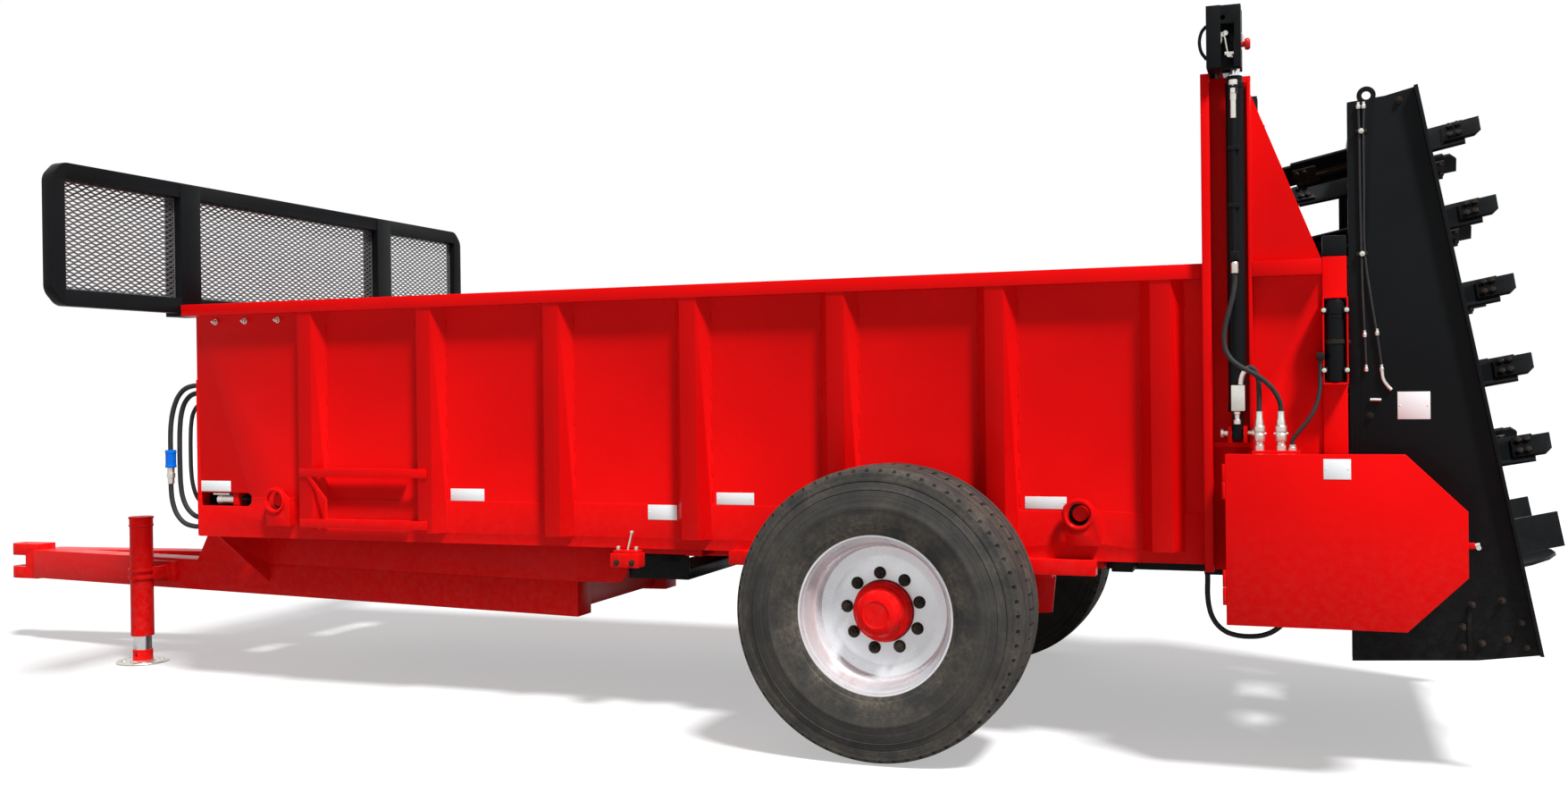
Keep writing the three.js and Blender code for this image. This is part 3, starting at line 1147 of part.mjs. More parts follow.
// ---------------------------------------------------------------- the machine
addNode("drawbar", drawbar(), RED);
addNode("hitch_clevis", clevis(), RED);
addNode("drawbar_deck", drawbarDeck(), RED);
addNode("step_beam", stepBeam(), BLACK);
addNode("main_frame", mainFrame(), RED);
addNode("tail_frame", tailFrame(), BLACK);
addNode("jack_tube", jackTube(), RED);
addNode("jack_leg", jackLeg(), SILVER, 0.35, 0.8);
addPair("box_side", boxSide(), RED, 0.35);
addNode("box_front", frontWall(), RED, 0.35);
addNode("box_floor", floor(), BLACK);
addNode("apron", apron(), STEEL, 0.5, 0.7);
addPair("chain_tensioner", chainTensioner(), STEEL);
addNode("steps", steps(), RED);
addPair("gate_tower", tower(), RED, 0.35);
addPair("gate_barrel", barrel(), BLACK, 0.35);
addPair("gate_rod", liftRod(), SILVER, 0.2, 0.9);
addNode("gate_panel", gatePanel(), BLACK);
addNode("gate_header", gateHeader(), BLACK);
addPair("rear_post", rearPost(), RED);
addPair("housing_side", housingSide(), BLACK);
addNode("housing_top_beam", topBeam(), BLACK);
addNode("beater_gearcase", gearcase(), BLACK);
addNode("left_beater", placedBeater(-1, 1), BLACK);
addNode("right_beater", placedBeater(1, -1), BLACK);
addNode("guard_body", guardBody(), RED);
addNode("guard_cover", guardCover(), RED, 0.35);
addNode("apron_drive", apronDrive(), STEEL);
addPair("axle_seat", axleSeat(), RED);
addNode("axle_beam", axleBeam(), BLACK);
addPair("tyre", tyre(), RUBBER, 0.9, 0);
addPair("rim", rim(), SILVER, 0.25, 0.9);
addPair("hub", hub(), RED);
addNode("screen_frame", screenFrame(), BLACK);
screenMeshes();
addNode("driveline", driveline(), STEEL);
addNode("valve_block", valveBlock(), RED);
addNode("canister", canister(), BLACK);
addNode("hose_ports", hosePorts(), SILVER, 0.3, 0.8);
addNode("grease_lines", greaseLines(), BLACK);
addNode("hose_coupler", hoseCoupler(), BLUE, 0.4, 0.1);
Object.entries(HOSE_ROUTES).forEach(([name, route]) => (
  addNode(name, hose(route, hoseRadius(name), HOSE_STEPS, 8), BLACK, 0.6, 0)));

const machine = new THREE.Group();
machine.name = "manure_spreader";
const shift = middleX();
parts.forEach((part) => machine.add(meshOf(part, shift)));

export default machine;
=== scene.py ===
"""A towed manure spreader with upright beaters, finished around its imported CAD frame.

Metres, +X to the tail, +Y to the machine's right, +Z up, the ground at z = 0.
"""

import json
import math

import bpy
from mathutils import Matrix, Vector

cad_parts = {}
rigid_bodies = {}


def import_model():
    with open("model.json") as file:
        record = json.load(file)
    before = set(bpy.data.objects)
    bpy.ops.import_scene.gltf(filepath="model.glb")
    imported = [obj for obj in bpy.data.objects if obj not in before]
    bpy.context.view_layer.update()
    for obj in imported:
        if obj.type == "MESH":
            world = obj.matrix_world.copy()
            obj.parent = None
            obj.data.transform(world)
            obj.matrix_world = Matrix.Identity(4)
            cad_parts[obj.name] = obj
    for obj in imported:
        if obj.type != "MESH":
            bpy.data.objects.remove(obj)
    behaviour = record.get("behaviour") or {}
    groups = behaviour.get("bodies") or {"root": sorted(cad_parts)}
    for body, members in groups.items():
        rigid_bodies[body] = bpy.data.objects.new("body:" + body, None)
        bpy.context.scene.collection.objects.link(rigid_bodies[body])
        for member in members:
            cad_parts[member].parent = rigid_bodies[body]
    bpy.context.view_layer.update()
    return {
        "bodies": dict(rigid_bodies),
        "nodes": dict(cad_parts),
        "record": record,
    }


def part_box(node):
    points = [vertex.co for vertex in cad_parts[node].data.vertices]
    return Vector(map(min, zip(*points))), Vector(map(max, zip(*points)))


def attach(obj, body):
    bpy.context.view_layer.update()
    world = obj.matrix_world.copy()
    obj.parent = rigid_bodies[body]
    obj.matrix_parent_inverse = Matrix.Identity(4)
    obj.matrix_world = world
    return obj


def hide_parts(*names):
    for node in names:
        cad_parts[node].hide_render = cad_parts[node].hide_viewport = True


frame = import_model()
NODES = frame["nodes"]
NODE_BODY = {node: body for body in frame["bodies"] for node in NODES
             if NODES[node].parent == frame["bodies"][body]}

UP = Vector((0, 0, 1))
AXLE = (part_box("left_tyre")[0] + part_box("left_tyre")[1]) / 2
TYRE_RADIUS = AXLE.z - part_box("left_tyre")[0].z
SKIN = -780                  # outer face of the left side sheet, in millimetres
SILL = -784                  # outer face of the sill below it
SIDES = (("left", -1), ("right", 1))
CYLINDER_X = 1260            # lift cylinders, in millimetres from the axle line
CYLINDER_Y = 850.3
PIPE_X = 1257                # feed pipes outside them
PIPE_Y = 900.3
RIBS = [-2834 + 641 * rib for rib in range(6)] + [990]
RIB_HALF = 80
LUGS = (-3018, 682)          # tie lugs' eyes
LUG_HEIGHT = 895
LUG_FACE = 830
BEATER_FOOT = (2059, 384, 640)
BEATER_LEAN = math.atan(0.1912)
BLADE_PITCH = 50             # degrees
BLADE_LEVELS = 10
FIRST_BLADE = 0.296          # metres up the beater, and the step between blades
BLADE_STEP = 0.148
WHEEL_NUTS = 9
NUT_CIRCLE = 0.143
DISC_INSET = 0.130           # wheel disc behind the rim's flange
LEFT = Vector((0, -1, 0))
ALONG = Vector((1, 0, 0))


def at(x, y, z):
    """A place in millimetres from the axle line, the centre plane and the ground."""
    return Vector((AXLE.x + x / 1000, y / 1000, z / 1000))


# ---------------------------------------------------------------- bench tools
def deselect():
    bpy.ops.object.select_all(action="DESELECT")


def pick(*pieces):
    deselect()
    for piece in pieces:
        piece.select_set(True)
    bpy.context.view_layer.objects.active = pieces[0]


def edit_mode():
    bpy.ops.object.mode_set(mode="EDIT")


def object_mode():
    bpy.ops.object.mode_set(mode="OBJECT")


def apply_place(piece):
    """Puts a piece's place into its mesh, so that its object sits at the origin."""
    pick(piece)
    bpy.ops.object.transform_apply(location=True, rotation=True, scale=True)


def pick_faces(piece, wanted):
    """Leaves the piece in edit mode with only the faces that the test accepts selected."""
    pick(piece)
    edit_mode()
    bpy.ops.mesh.select_mode(type="FACE")
    bpy.ops.mesh.select_all(action="DESELECT")
    object_mode()
    for face in piece.data.polygons:
        face.select = wanted(face.center)
    edit_mode()


def modifier(piece, kind, **settings):
    pick(piece)
    bpy.ops.object.modifier_add(type=kind)
    added = piece.modifiers[-1]
    for name, value in settings.items():
        setattr(added, name, value)
    bpy.ops.object.modifier_apply(modifier=added.name)


def soften(piece, width, segments=2, angle=35):
    """Rounds the sharp edges off and shades what is flat as flat."""
    modifier(piece, "BEVEL", width=width, segments=segments, limit_method="ANGLE",
             angle_limit=math.radians(angle), use_clamp_overlap=True, miter_outer="MITER_ARC")
    pick(piece)
    bpy.ops.object.shade_smooth_by_angle(angle=math.radians(angle))


def recalculate(piece, merge=0.00002):
    pick(piece)
    edit_mode()
    bpy.ops.mesh.select_all(action="SELECT")
    bpy.ops.mesh.remove_doubles(threshold=merge)
    bpy.ops.mesh.normals_make_consistent(inside=False)
    object_mode()


def settle(piece, name, body, material, slot=None, stands_for=()):
    """Names a finished piece, gives it its finish and lets it ride on its body."""
    apply_place(piece)
    piece.name = name
    piece.data.name = name
    if material is not None:
        piece.data.materials.clear()
        piece.data.materials.append(material)
    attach(piece, body)
    slot = slot or slot_of(material)
    if stands_for:
        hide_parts(*stands_for)
    return piece


def slot_of(material):
    """The record's slot whose finish a material is."""
    return next((slot for slot, finish in FINISHES.items() if finish == material), None)


def joined(pieces):
    pick(*pieces)
    bpy.ops.object.join()
    return bpy.context.object


def copy_of(piece):
    pick(piece)
    bpy.ops.object.duplicate()
    return bpy.context.object


def placed_copy(model, place, axis):
    """A copy of a model made around +Z, stood on a place along an axis."""
    piece = copy_of(model)
    piece.matrix_world = Matrix.Translation(place) @ frame_of(axis)
    apply_place(piece)
    return piece


def block(x, y, z, width=0.0015):
    """A block between millimetre ranges with its edges rounded off; a width of 0 keeps them."""
    low, high = at(x[0], y[0], z[0]), at(x[1], y[1], z[1])
    deselect()
    bpy.ops.mesh.primitive_cube_add(size=1, location=(low + high) / 2)
    piece = bpy.context.object
    piece.scale = high - low
    apply_place(piece)
    if width:
        soften(piece, width)
    return piece


def cut_out(piece, *cutters):
    """Cuts other pieces' shapes out of a piece and takes them away."""
    for cutter in cutters:
        modifier(piece, "BOOLEAN", operation="DIFFERENCE", object=cutter, solver="EXACT")
        bpy.data.objects.remove(cutter)
    return piece


def chain(points):
    """A string of edges, drawn out from one corner to the next."""
    deselect()
    bpy.ops.mesh.primitive_plane_add(size=0.01, location=points[0])
    piece = bpy.context.object
    edit_mode()
    bpy.ops.mesh.select_mode(type="VERT")
    bpy.ops.mesh.select_all(action="SELECT")
    bpy.ops.mesh.merge(type="CENTER")
    for start, end in zip(points, points[1:]):
        step = Vector(end) - Vector(start)
        bpy.ops.mesh.extrude_region_move(TRANSFORM_OT_translate={"value": step})
    object_mode()
    apply_place(piece)
    return piece


def frame_of(axis):
    """A turn that takes +Z to the axis."""
    return UP.rotation_difference(Vector(axis).normalized()).to_matrix().to_4x4()


def turned(profile, centre, axis, steps=48, angle=30):
    """A round piece spun from (radius, along) corners that start and end on the axis or close up."""
    piece = chain([(radius, 0, along) for radius, along in profile])
    pick(piece)
    edit_mode()
    bpy.ops.mesh.select_all(action="SELECT")
    bpy.ops.mesh.spin(steps=steps, angle=2 * math.pi, center=(0, 0, 0), axis=(0, 0, 1))
    object_mode()
    recalculate(piece, 0.00005)
    pick(piece)
    bpy.ops.object.shade_smooth_by_angle(angle=math.radians(angle))
    piece.matrix_world = Matrix.Translation(centre) @ frame_of(axis)
    apply_place(piece)
    return piece


def round_bar(start, end, radius, edge=0.001, steps=24):
    """A turned bar between two places, chamfered at its ends."""
    length = (end - start).length
    profile = [(0, 0), (radius - edge, 0), (radius, edge), (radius, length - edge),
               (radius - edge, length), (0, length)]
    return turned(profile, start, end - start, steps, 32)


def tube(points, radius, sides=3, steps=10):
    """A hose or bent rod along a smooth curve through the points, with closed ends."""
    curve = bpy.data.curves.new("route", "CURVE")
    curve.dimensions = "3D"
    curve.resolution_u = steps
    curve.bevel_depth = radius
    curve.bevel_resolution = sides
    curve.use_fill_caps = True
    spline = curve.splines.new("BEZIER")
    spline.bezier_points.add(len(points) - 1)
    for point, place in zip(spline.bezier_points, points):
        point.co = place
        point.handle_left_type = "AUTO"
        point.handle_right_type = "AUTO"
    piece = bpy.data.objects.new("route", curve)
    bpy.context.scene.collection.objects.link(piece)
    pick(piece)
    bpy.ops.object.convert(target="MESH")
    piece = bpy.context.object
    recalculate(piece)
    pick(piece)
    bpy.ops.object.shade_smooth_by_angle(angle=math.radians(50))
    return piece


# ---------------------------------------------------------------- finishes
class Finish:
    """One procedural finish: a Principled shader with the nodes that feed it."""

    def __init__(self, name, roughness, metallic=0.0, coat=0.0, specular=0.5):
        self.material = bpy.data.materials.new(name)
        self.material.use_nodes = True
        self.tree = self.material.node_tree
        self.shader = self.tree.nodes["Principled BSDF"]
        self.shader.inputs["Roughness"].default_value = roughness
        self.shader.inputs["Metallic"].default_value = metallic
        self.shader.inputs["Coat Weight"].default_value = coat
        self.shader.inputs["Coat Roughness"].default_value = 0.08
        self.shader.inputs["Specular IOR Level"].default_value = specular
        self.place = self.node("ShaderNodeTexCoord").outputs["Object"]

    def node(self, kind, **settings):
        made = self.tree.nodes.new(kind)
        for name, value in settings.items():
            setattr(made, name, value)
        return made

    def feed(self, source, target):
        self.tree.links.new(source, target)

    def stretched(self, scale, centre=(0, 0, 0)):
        """The object's own coordinates from a centre, stretched by a scale on each axis."""
        mapping = self.node("ShaderNodeMapping")
        mapping.inputs["Scale"].default_value = scale
        mapping.inputs["Location"].default_value = [-c * s for c, s in zip(centre, scale)]
        self.feed(self.place, mapping.inputs["Vector"])
        return mapping.outputs["Vector"]

    def noise(self, scale, detail=3.0, rough=0.55, vector=None):
        made = self.node("ShaderNodeTexNoise")
        made.inputs["Scale"].default_value = scale
        made.inputs["Detail"].default_value = detail
        made.inputs["Roughness"].default_value = rough
        self.feed(vector or self.place, made.inputs["Vector"])
        return made.outputs["Fac"]

    def ramp(self, source, low, high, bottom=0.0, top=1.0):
        made = self.node("ShaderNodeMapRange")
        made.inputs["From Min"].default_value = low
        made.inputs["From Max"].default_value = high
        made.inputs["To Min"].default_value = bottom
        made.inputs["To Max"].default_value = top
        self.feed(source, made.inputs["Value"])
        return made.outputs["Result"]

    def maths(self, operation, first, second):
        made = self.node("ShaderNodeMath", operation=operation, use_clamp=False)
        for socket, value in zip(made.inputs, (first, second)):
            if isinstance(value, (int, float)):
                socket.default_value = value
            else:
                self.feed(value, socket)
        return made.outputs["Value"]

    def blend(self, share, first, second):
        """A colour between two, each a colour or the output of another node."""
        made = self.node("ShaderNodeMix", data_type="RGBA")
        self.feed(share, made.inputs["Factor"])
        for socket, value in ((made.inputs[6], first), (made.inputs[7], second)):
            if isinstance(value, tuple):
                socket.default_value = (*value, 1)
            else:
                self.feed(value, socket)
        return made.outputs[2]

    def edges(self, radius, low=0.03, high=0.35):
        """1 along the sharp edges, 0 on the flats."""
        rounded = self.node("ShaderNodeBevel", samples=4)
        rounded.inputs["Radius"].default_value = radius
        true = self.node("ShaderNodeNewGeometry")
        facing = self.node("ShaderNodeVectorMath", operation="DOT_PRODUCT")
        self.feed(rounded.outputs["Normal"], facing.inputs[0])
        self.feed(true.outputs["Normal"], facing.inputs[1])
        turned_away = self.maths("SUBTRACT", 1.0, facing.outputs["Value"])
        return self.ramp(turned_away, low, high)

    def height(self):
        """How high above the ground a point is, in metres."""
        split = self.node("ShaderNodeSeparateXYZ")
        self.feed(self.place, split.inputs["Vector"])
        return split.outputs["Z"]

    def colour(self, source):
        if isinstance(source, tuple):
            self.shader.inputs["Base Color"].default_value = (*source, 1)
        else:
            self.feed(source, self.shader.inputs["Base Color"])

    def bump(self, *layers):
        """Lays bumps over each other, each given as (height, strength, distance)."""
        below = None
        for height, strength, distance in layers:
            made = self.node("ShaderNodeBump")
            made.inputs["Strength"].default_value = strength
            made.inputs["Distance"].default_value = distance
            self.feed(height, made.inputs["Height"])
            if below is not None:
                self.feed(below, made.inputs["Normal"])
            below = made.outputs["Normal"]
        self.feed(below, self.shader.inputs["Normal"])


def paint(name, colour, shade, roughness, coat, dust, dust_share, worn):
    """Sprayed enamel: orange peel, slow waves in the sheet, dust low down and rubbed edges."""
    finish = Finish(name, roughness, 0.0, coat, 0.05)
    cloud = finish.ramp(finish.noise(1.7, 4), 0.35, 0.7)
    body = finish.blend(cloud, colour, shade)
    low = finish.ramp(finish.height(), 0.95, 0.35, 0.0, 1.0)
    specks = finish.ramp(finish.noise(34, 6, 0.7), 0.42, 0.72)
    film = finish.maths("MULTIPLY", finish.maths("MULTIPLY", low, specks), dust_share)
    dusty = finish.blend(film, body, dust)
    chips = finish.ramp(finish.noise(120, 3, 0.6), 0.52, 0.62)
    rubbed = finish.maths("MULTIPLY", finish.edges(0.0025), chips)
    finish.colour(finish.blend(finish.maths("MULTIPLY", rubbed, worn), dusty, (0.32, 0.3, 0.29)))
    smears = finish.ramp(finish.noise(6, 5, 0.6), 0.3, 0.75, roughness * 0.8, roughness * 1.35)
    finish.feed(finish.maths("ADD", smears, finish.maths("MULTIPLY", film, 0.5)),
                finish.shader.inputs["Roughness"])
    finish.bump((finish.noise(2.2, 1), 0.25, 0.01), (finish.noise(420, 2), 0.04, 0.0008))
    return finish.material


def rubber(name, colour, dust, scale, dust_share):
    finish = Finish(name, 0.72, 0.0, 0.0, 0.35)
    patches = finish.ramp(finish.noise(scale, 7, 0.7), 0.42, 0.68)
    rubbed = finish.ramp(finish.noise(scale * 7, 4, 0.7), 0.4, 0.7)
    share = finish.maths("MULTIPLY", finish.maths("MULTIPLY", patches, rubbed), dust_share)
    finish.colour(finish.blend(share, colour, dust))
    finish.bump((finish.noise(scale * 30, 5, 0.7), 0.3, 0.001))
    return finish.material


def tyre_rubber():
    """Used rubber: grey-black, with brown earth dried on in rings and short scuffs across it."""
    finish = Finish("tyre_rubber", 0.8, 0.0, 0.0, 0.3)
    centred = finish.stretched((1, 0, 1), (AXLE.x, 0, AXLE.z))
    length = finish.node("ShaderNodeVectorMath", operation="LENGTH")
    finish.feed(centred, length.inputs[0])
    radius = length.outputs["Value"]
    bead = finish.ramp(radius, 0.41, 0.31)
    shoulder = finish.ramp(radius, 0.455, 0.52)
    patches = finish.ramp(finish.noise(7, 8, 0.7), 0.40, 0.66)
    speckle = finish.ramp(finish.noise(60, 6, 0.75), 0.38, 0.72)
    rings = finish.node("ShaderNodeCombineXYZ")
    finish.feed(radius, rings.inputs["X"])
    streaks = finish.ramp(finish.noise(110, 3, 0.6, rings.outputs["Vector"]), 0.45, 0.66)
    where = finish.maths("MAXIMUM", bead, finish.maths("MULTIPLY", shoulder, 0.55))
    spread = finish.maths("ADD", finish.maths("MULTIPLY", where, 0.8), 0.22)
    earth = finish.maths("MULTIPLY", finish.maths("MULTIPLY", patches, speckle), spread)
    ringed = finish.maths("ADD", earth, finish.maths("MULTIPLY", streaks, 0.12))
    black = finish.blend(patches, (0.022, 0.022, 0.022), (0.036, 0.035, 0.033))
    finish.colour(finish.blend(ringed, black, (0.16, 0.125, 0.085)))
    finish.bump((streaks, 0.25, 0.0015), (finish.noise(260, 5, 0.7), 0.35, 0.0012))
    return finish.material


def bright_metal(name, colour, roughness, metallic, stained, streak_scale, coat=0.0, grain=0.06):
    """Bare or plated metal with cloudy stains and fine working marks."""
    finish = Finish(name, roughness, metallic, coat, 0.5)
    cloud = finish.ramp(finish.noise(9, 6, 0.65), 0.4, 0.75)
    finish.colour(finish.blend(cloud, colour, stained))
    marks = finish.noise(1.0, 4, 0.6, finish.stretched(streak_scale))
    finish.feed(finish.ramp(marks, 0.3, 0.7, roughness * 0.75, roughness * 1.4),
                finish.shader.inputs["Roughness"])
    finish.bump((marks, 0.08, 0.0006), (finish.noise(150, 4, 0.6), grain, 0.0006))
    return finish.material


def floor_board():
    """Dark moulded board with the scrapes that the slats leave along it."""
    finish = Finish("floor_board", 0.6, 0.0, 0.0, 0.4)
    scrapes = finish.noise(1.0, 6, 0.7, finish.stretched((3, 160, 20)))
    stains = finish.ramp(finish.noise(3, 6, 0.65), 0.35, 0.75)
    base = finish.blend(stains, (0.05, 0.052, 0.055), (0.10, 0.092, 0.08))
    finish.colour(finish.blend(finish.ramp(scrapes, 0.55, 0.75), base, (0.2, 0.19, 0.17)))
    finish.bump((scrapes, 0.3, 0.001), (finish.noise(90, 5), 0.2, 0.001))
    return finish.material


RED = (0.70, 0.0028, 0.0030)
RED_SHADE = (0.62, 0.0022, 0.0026)
BLACK = (0.0052, 0.0058, 0.0066)
DUST = (0.26, 0.21, 0.16)

FINISHES = {
    "red_paint": paint("red_enamel", RED, RED_SHADE, 0.30, 0.0, DUST, 0.10, 0.35),
    "black_paint": paint("black_enamel", BLACK, (0.008, 0.0088, 0.0098), 0.34, 0.03, DUST, 0.05, 0.3),
    "chrome_rod": bright_metal("chrome_plate", (0.78, 0.79, 0.8), 0.12, 1.0, (0.7, 0.7, 0.7),
                               (40, 40, 900)),
    "worn_steel": bright_metal("worn_steel", (0.33, 0.32, 0.31), 0.5, 0.85, (0.16, 0.13, 0.11),
                               (30, 300, 300)),
    "tyre": tyre_rubber(),
    "polished_rim": bright_metal("rim_silver", (0.74, 0.75, 0.77), 0.30, 0.6, (0.68, 0.69, 0.71),
                                 (14, 6, 14), 0.1, 0.008),
    "mesh_steel": bright_metal("mesh_zinc", (0.13, 0.13, 0.135), 0.5, 0.5, (0.08, 0.08, 0.082),
                               (80, 80, 80)),
    "zinc_fitting": bright_metal("zinc_fitting", (0.72, 0.71, 0.66), 0.3, 0.9, (0.58, 0.57, 0.5),
                                 (60, 60, 60)),
    "blue_sleeve": paint("blue_sleeve", (0.0, 0.13, 0.62), (0.0, 0.11, 0.5), 0.4, 0.2, DUST, 0.1, 0.0),
    "hose_rubber": rubber("hose_rubber", (0.014, 0.014, 0.015), (0.1, 0.09, 0.08), 12, 0.25),
}
ZINC = FINISHES["zinc_fitting"]
RED_KNOB = paint("red_knob", (0.6, 0.01, 0.01), (0.5, 0.01, 0.01), 0.35, 0.3, DUST, 0.05, 0.0)
# Near-black for painted shade: thin sheets in the tensioner slots and the tie lugs' eyes stand in for the
# shade inside them.
SHADE_BLACK = paint("slot_painted_shade", (0.004, 0.004, 0.004), (0.006, 0.006, 0.006), 0.6, 0.0, DUST, 0.0, 0.0)
NUT_BLACK = paint("nut_black", (0.012, 0.011, 0.010), (0.03, 0.02, 0.014), 0.5, 0.1, DUST, 0.1, 0.5)
BOARD = floor_board()
PLATE_WHITE = paint("plate_white", (0.78, 0.79, 0.8), (0.7, 0.71, 0.72), 0.4, 0.3, DUST, 0.1, 0.0)
RED_PAINT = FINISHES["red_paint"]
BLACK_PAINT = FINISHES["black_paint"]

SLOTS = {part["node"]: part["material_slot"] for part in frame["record"]["subparts"]}


# ---------------------------------------------------------------- plates, tubes and brackets from the CAD
def cleaned_copy(node):
    """A CAD piece's own shape as a mesh to work on: merged, and with its flats in one piece each."""
    piece = copy_of(NODES[node])
    for key in list(piece.keys()):
        del piece[key]
    piece.parent = None
    pick(piece)
    edit_mode()
    bpy.ops.mesh.select_all(action="SELECT")
    bpy.ops.mesh.remove_doubles(threshold=0.00003)
    bpy.ops.mesh.dissolve_limited(angle_limit=math.radians(0.6))
    object_mode()
    return piece


def fabricated(node, width, material=None, angle=35):
    """A welded or pressed part as it leaves the shop, with its edges rounded off."""
    piece = cleaned_copy(node)
    soften(piece, width, angle=angle)
    slot = SLOTS[node]
    name = node + "_finish"
    return settle(piece, name, NODE_BODY[node], material or FINISHES[slot], slot, [node])


EDGE_RADIUS = {
    "drawbar": 0.006, "hitch_clevis": 0.011, "drawbar_deck": 0.002, "step_beam": 0.003,
    "main_frame": 0.003, "tail_frame": 0.003, "left_box_side": 0.0025, "right_box_side": 0.0025,
    "box_front": 0.002, "steps": 0.002, "left_gate_tower": 0.0025, "right_gate_tower": 0.0025,
    "gate_panel": 0.002, "gate_header": 0.003,
    "left_housing_side": 0.002, "right_housing_side": 0.002, "housing_top_beam": 0.003,
    "beater_gearcase": 0.004, "left_beater": 0.002, "right_beater": 0.002,
    "guard_body": 0.0015, "guard_cover": 0.0015, "apron_drive": 0.003,
    "left_axle_seat": 0.003, "right_axle_seat": 0.003, "axle_beam": 0.006,
    "apron": 0.001, "box_floor": 0.001,
}


def screen_frame():
    """The screen's frame: its cut corners are rolled round before the edges are softened."""
    node = "screen_frame"
    piece = cleaned_copy(node)
    apply_place(piece)
    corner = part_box(node)[1].y - 0.064
    pick(piece)
    edit_mode()
    bpy.ops.mesh.select_mode(type="EDGE")
    bpy.ops.mesh.select_all(action="DESELECT")
    object_mode()
    points = piece.data.vertices
    for edge in piece.data.edges:
        start, end = (points[index].co for index in edge.vertices)
        along = end - start
        edge.select = abs(along.x) > 0.03 and along.yz.length < 0.001 and abs(start.y) > corner
    edit_mode()
    bpy.ops.mesh.bevel(offset=0.024, segments=4, affect="EDGES")
    bpy.ops.mesh.select_mode(type="VERT")
    object_mode()
    soften(piece, 0.005, angle=28)
    return settle(piece, node + "_finish", NODE_BODY[node], FINISHES["black_paint"], None, [node])


def fabricated_parts():
    for node, width in EDGE_RADIUS.items():
        fabricated(node, width, BOARD if node == "box_floor" else None)
    screen_frame()


# ---------------------------------------------------------------- camera, light and floor
EYE = Vector((3.072, -6.295, 1.369))
EYE_YAW, EYE_PITCH, EYE_ROLL = 20.04, -0.32, -0.70     # degrees
EYE_LENS = 33.02
SUN_FROM = Vector((0.42, -0.34, 0.84))
SUN_POWER = 5.3
SHADE_LIGHT = 0.34           # what the white surroundings give to matt surfaces


def studio():
    camera = bpy.data.cameras.new("camera")
    camera.lens = EYE_LENS
    camera.sensor_width = 36
    eye = bpy.data.objects.new("camera", camera)
    bpy.context.scene.collection.objects.link(eye)
    turn = (Matrix.Rotation(math.radians(EYE_YAW), 4, "Z")
            @ Matrix.Rotation(math.radians(90 + EYE_PITCH), 4, "X")
            @ Matrix.Rotation(math.radians(EYE_ROLL), 4, "Z"))
    eye.matrix_world = Matrix.Translation(EYE) @ turn
    bpy.context.scene.camera = eye

    sun = bpy.data.lights.new("sun", "SUN")
    sun.energy = SUN_POWER
    sun.angle = math.radians(9)
    lamp = bpy.data.objects.new("sun", sun)
    lamp.rotation_euler = SUN_FROM.to_track_quat("Z", "Y").to_euler()
    bpy.context.scene.collection.objects.link(lamp)

    deselect()
    bpy.ops.mesh.primitive_plane_add(size=160, location=(0, 0, -0.001))
    ground = bpy.context.object
    ground.name = "studio_floor"
    finish = Finish("studio_floor", 0.9, 0.0, 0.0, 0.0)
    finish.colour((0.42, 0.42, 0.42))
    path = finish.node("ShaderNodeLightPath")
    finish.shader.inputs["Emission Color"].default_value = (1, 1, 1, 1)
    finish.feed(finish.maths("MULTIPLY", path.outputs["Is Camera Ray"], 0.44),
                finish.shader.inputs["Emission Strength"])
    ground.data.materials.append(finish.material)

    world = bpy.data.worlds.new("studio")
    world.use_nodes = True
    bpy.context.scene.world = world
    tree = world.node_tree
    background = tree.nodes["Background"]
    path = tree.nodes.new("ShaderNodeLightPath")
    seen = tree.nodes.new("ShaderNodeMath")
    seen.operation = "MAXIMUM"
    tree.links.new(path.outputs["Is Camera Ray"], seen.inputs[0])
    tree.links.new(path.outputs["Is Transmission Ray"], seen.inputs[1])
    mirrored_too = tree.nodes.new("ShaderNodeMath")
    mirrored_too.operation = "MAXIMUM"
    tree.links.new(seen.outputs["Value"], mirrored_too.inputs[0])
    tree.links.new(path.outputs["Is Glossy Ray"], mirrored_too.inputs[1])
    strength = tree.nodes.new("ShaderNodeMapRange")
    strength.inputs["To Min"].default_value = SHADE_LIGHT
    strength.inputs["To Max"].default_value = 1.0
    tree.links.new(mirrored_too.outputs["Value"], strength.inputs["Value"])
    tree.links.new(strength.outputs["Result"], background.inputs["Strength"])
    background.inputs["Color"].default_value = (1, 1, 1, 1)
    bpy.context.scene.view_settings.view_transform = "Standard"


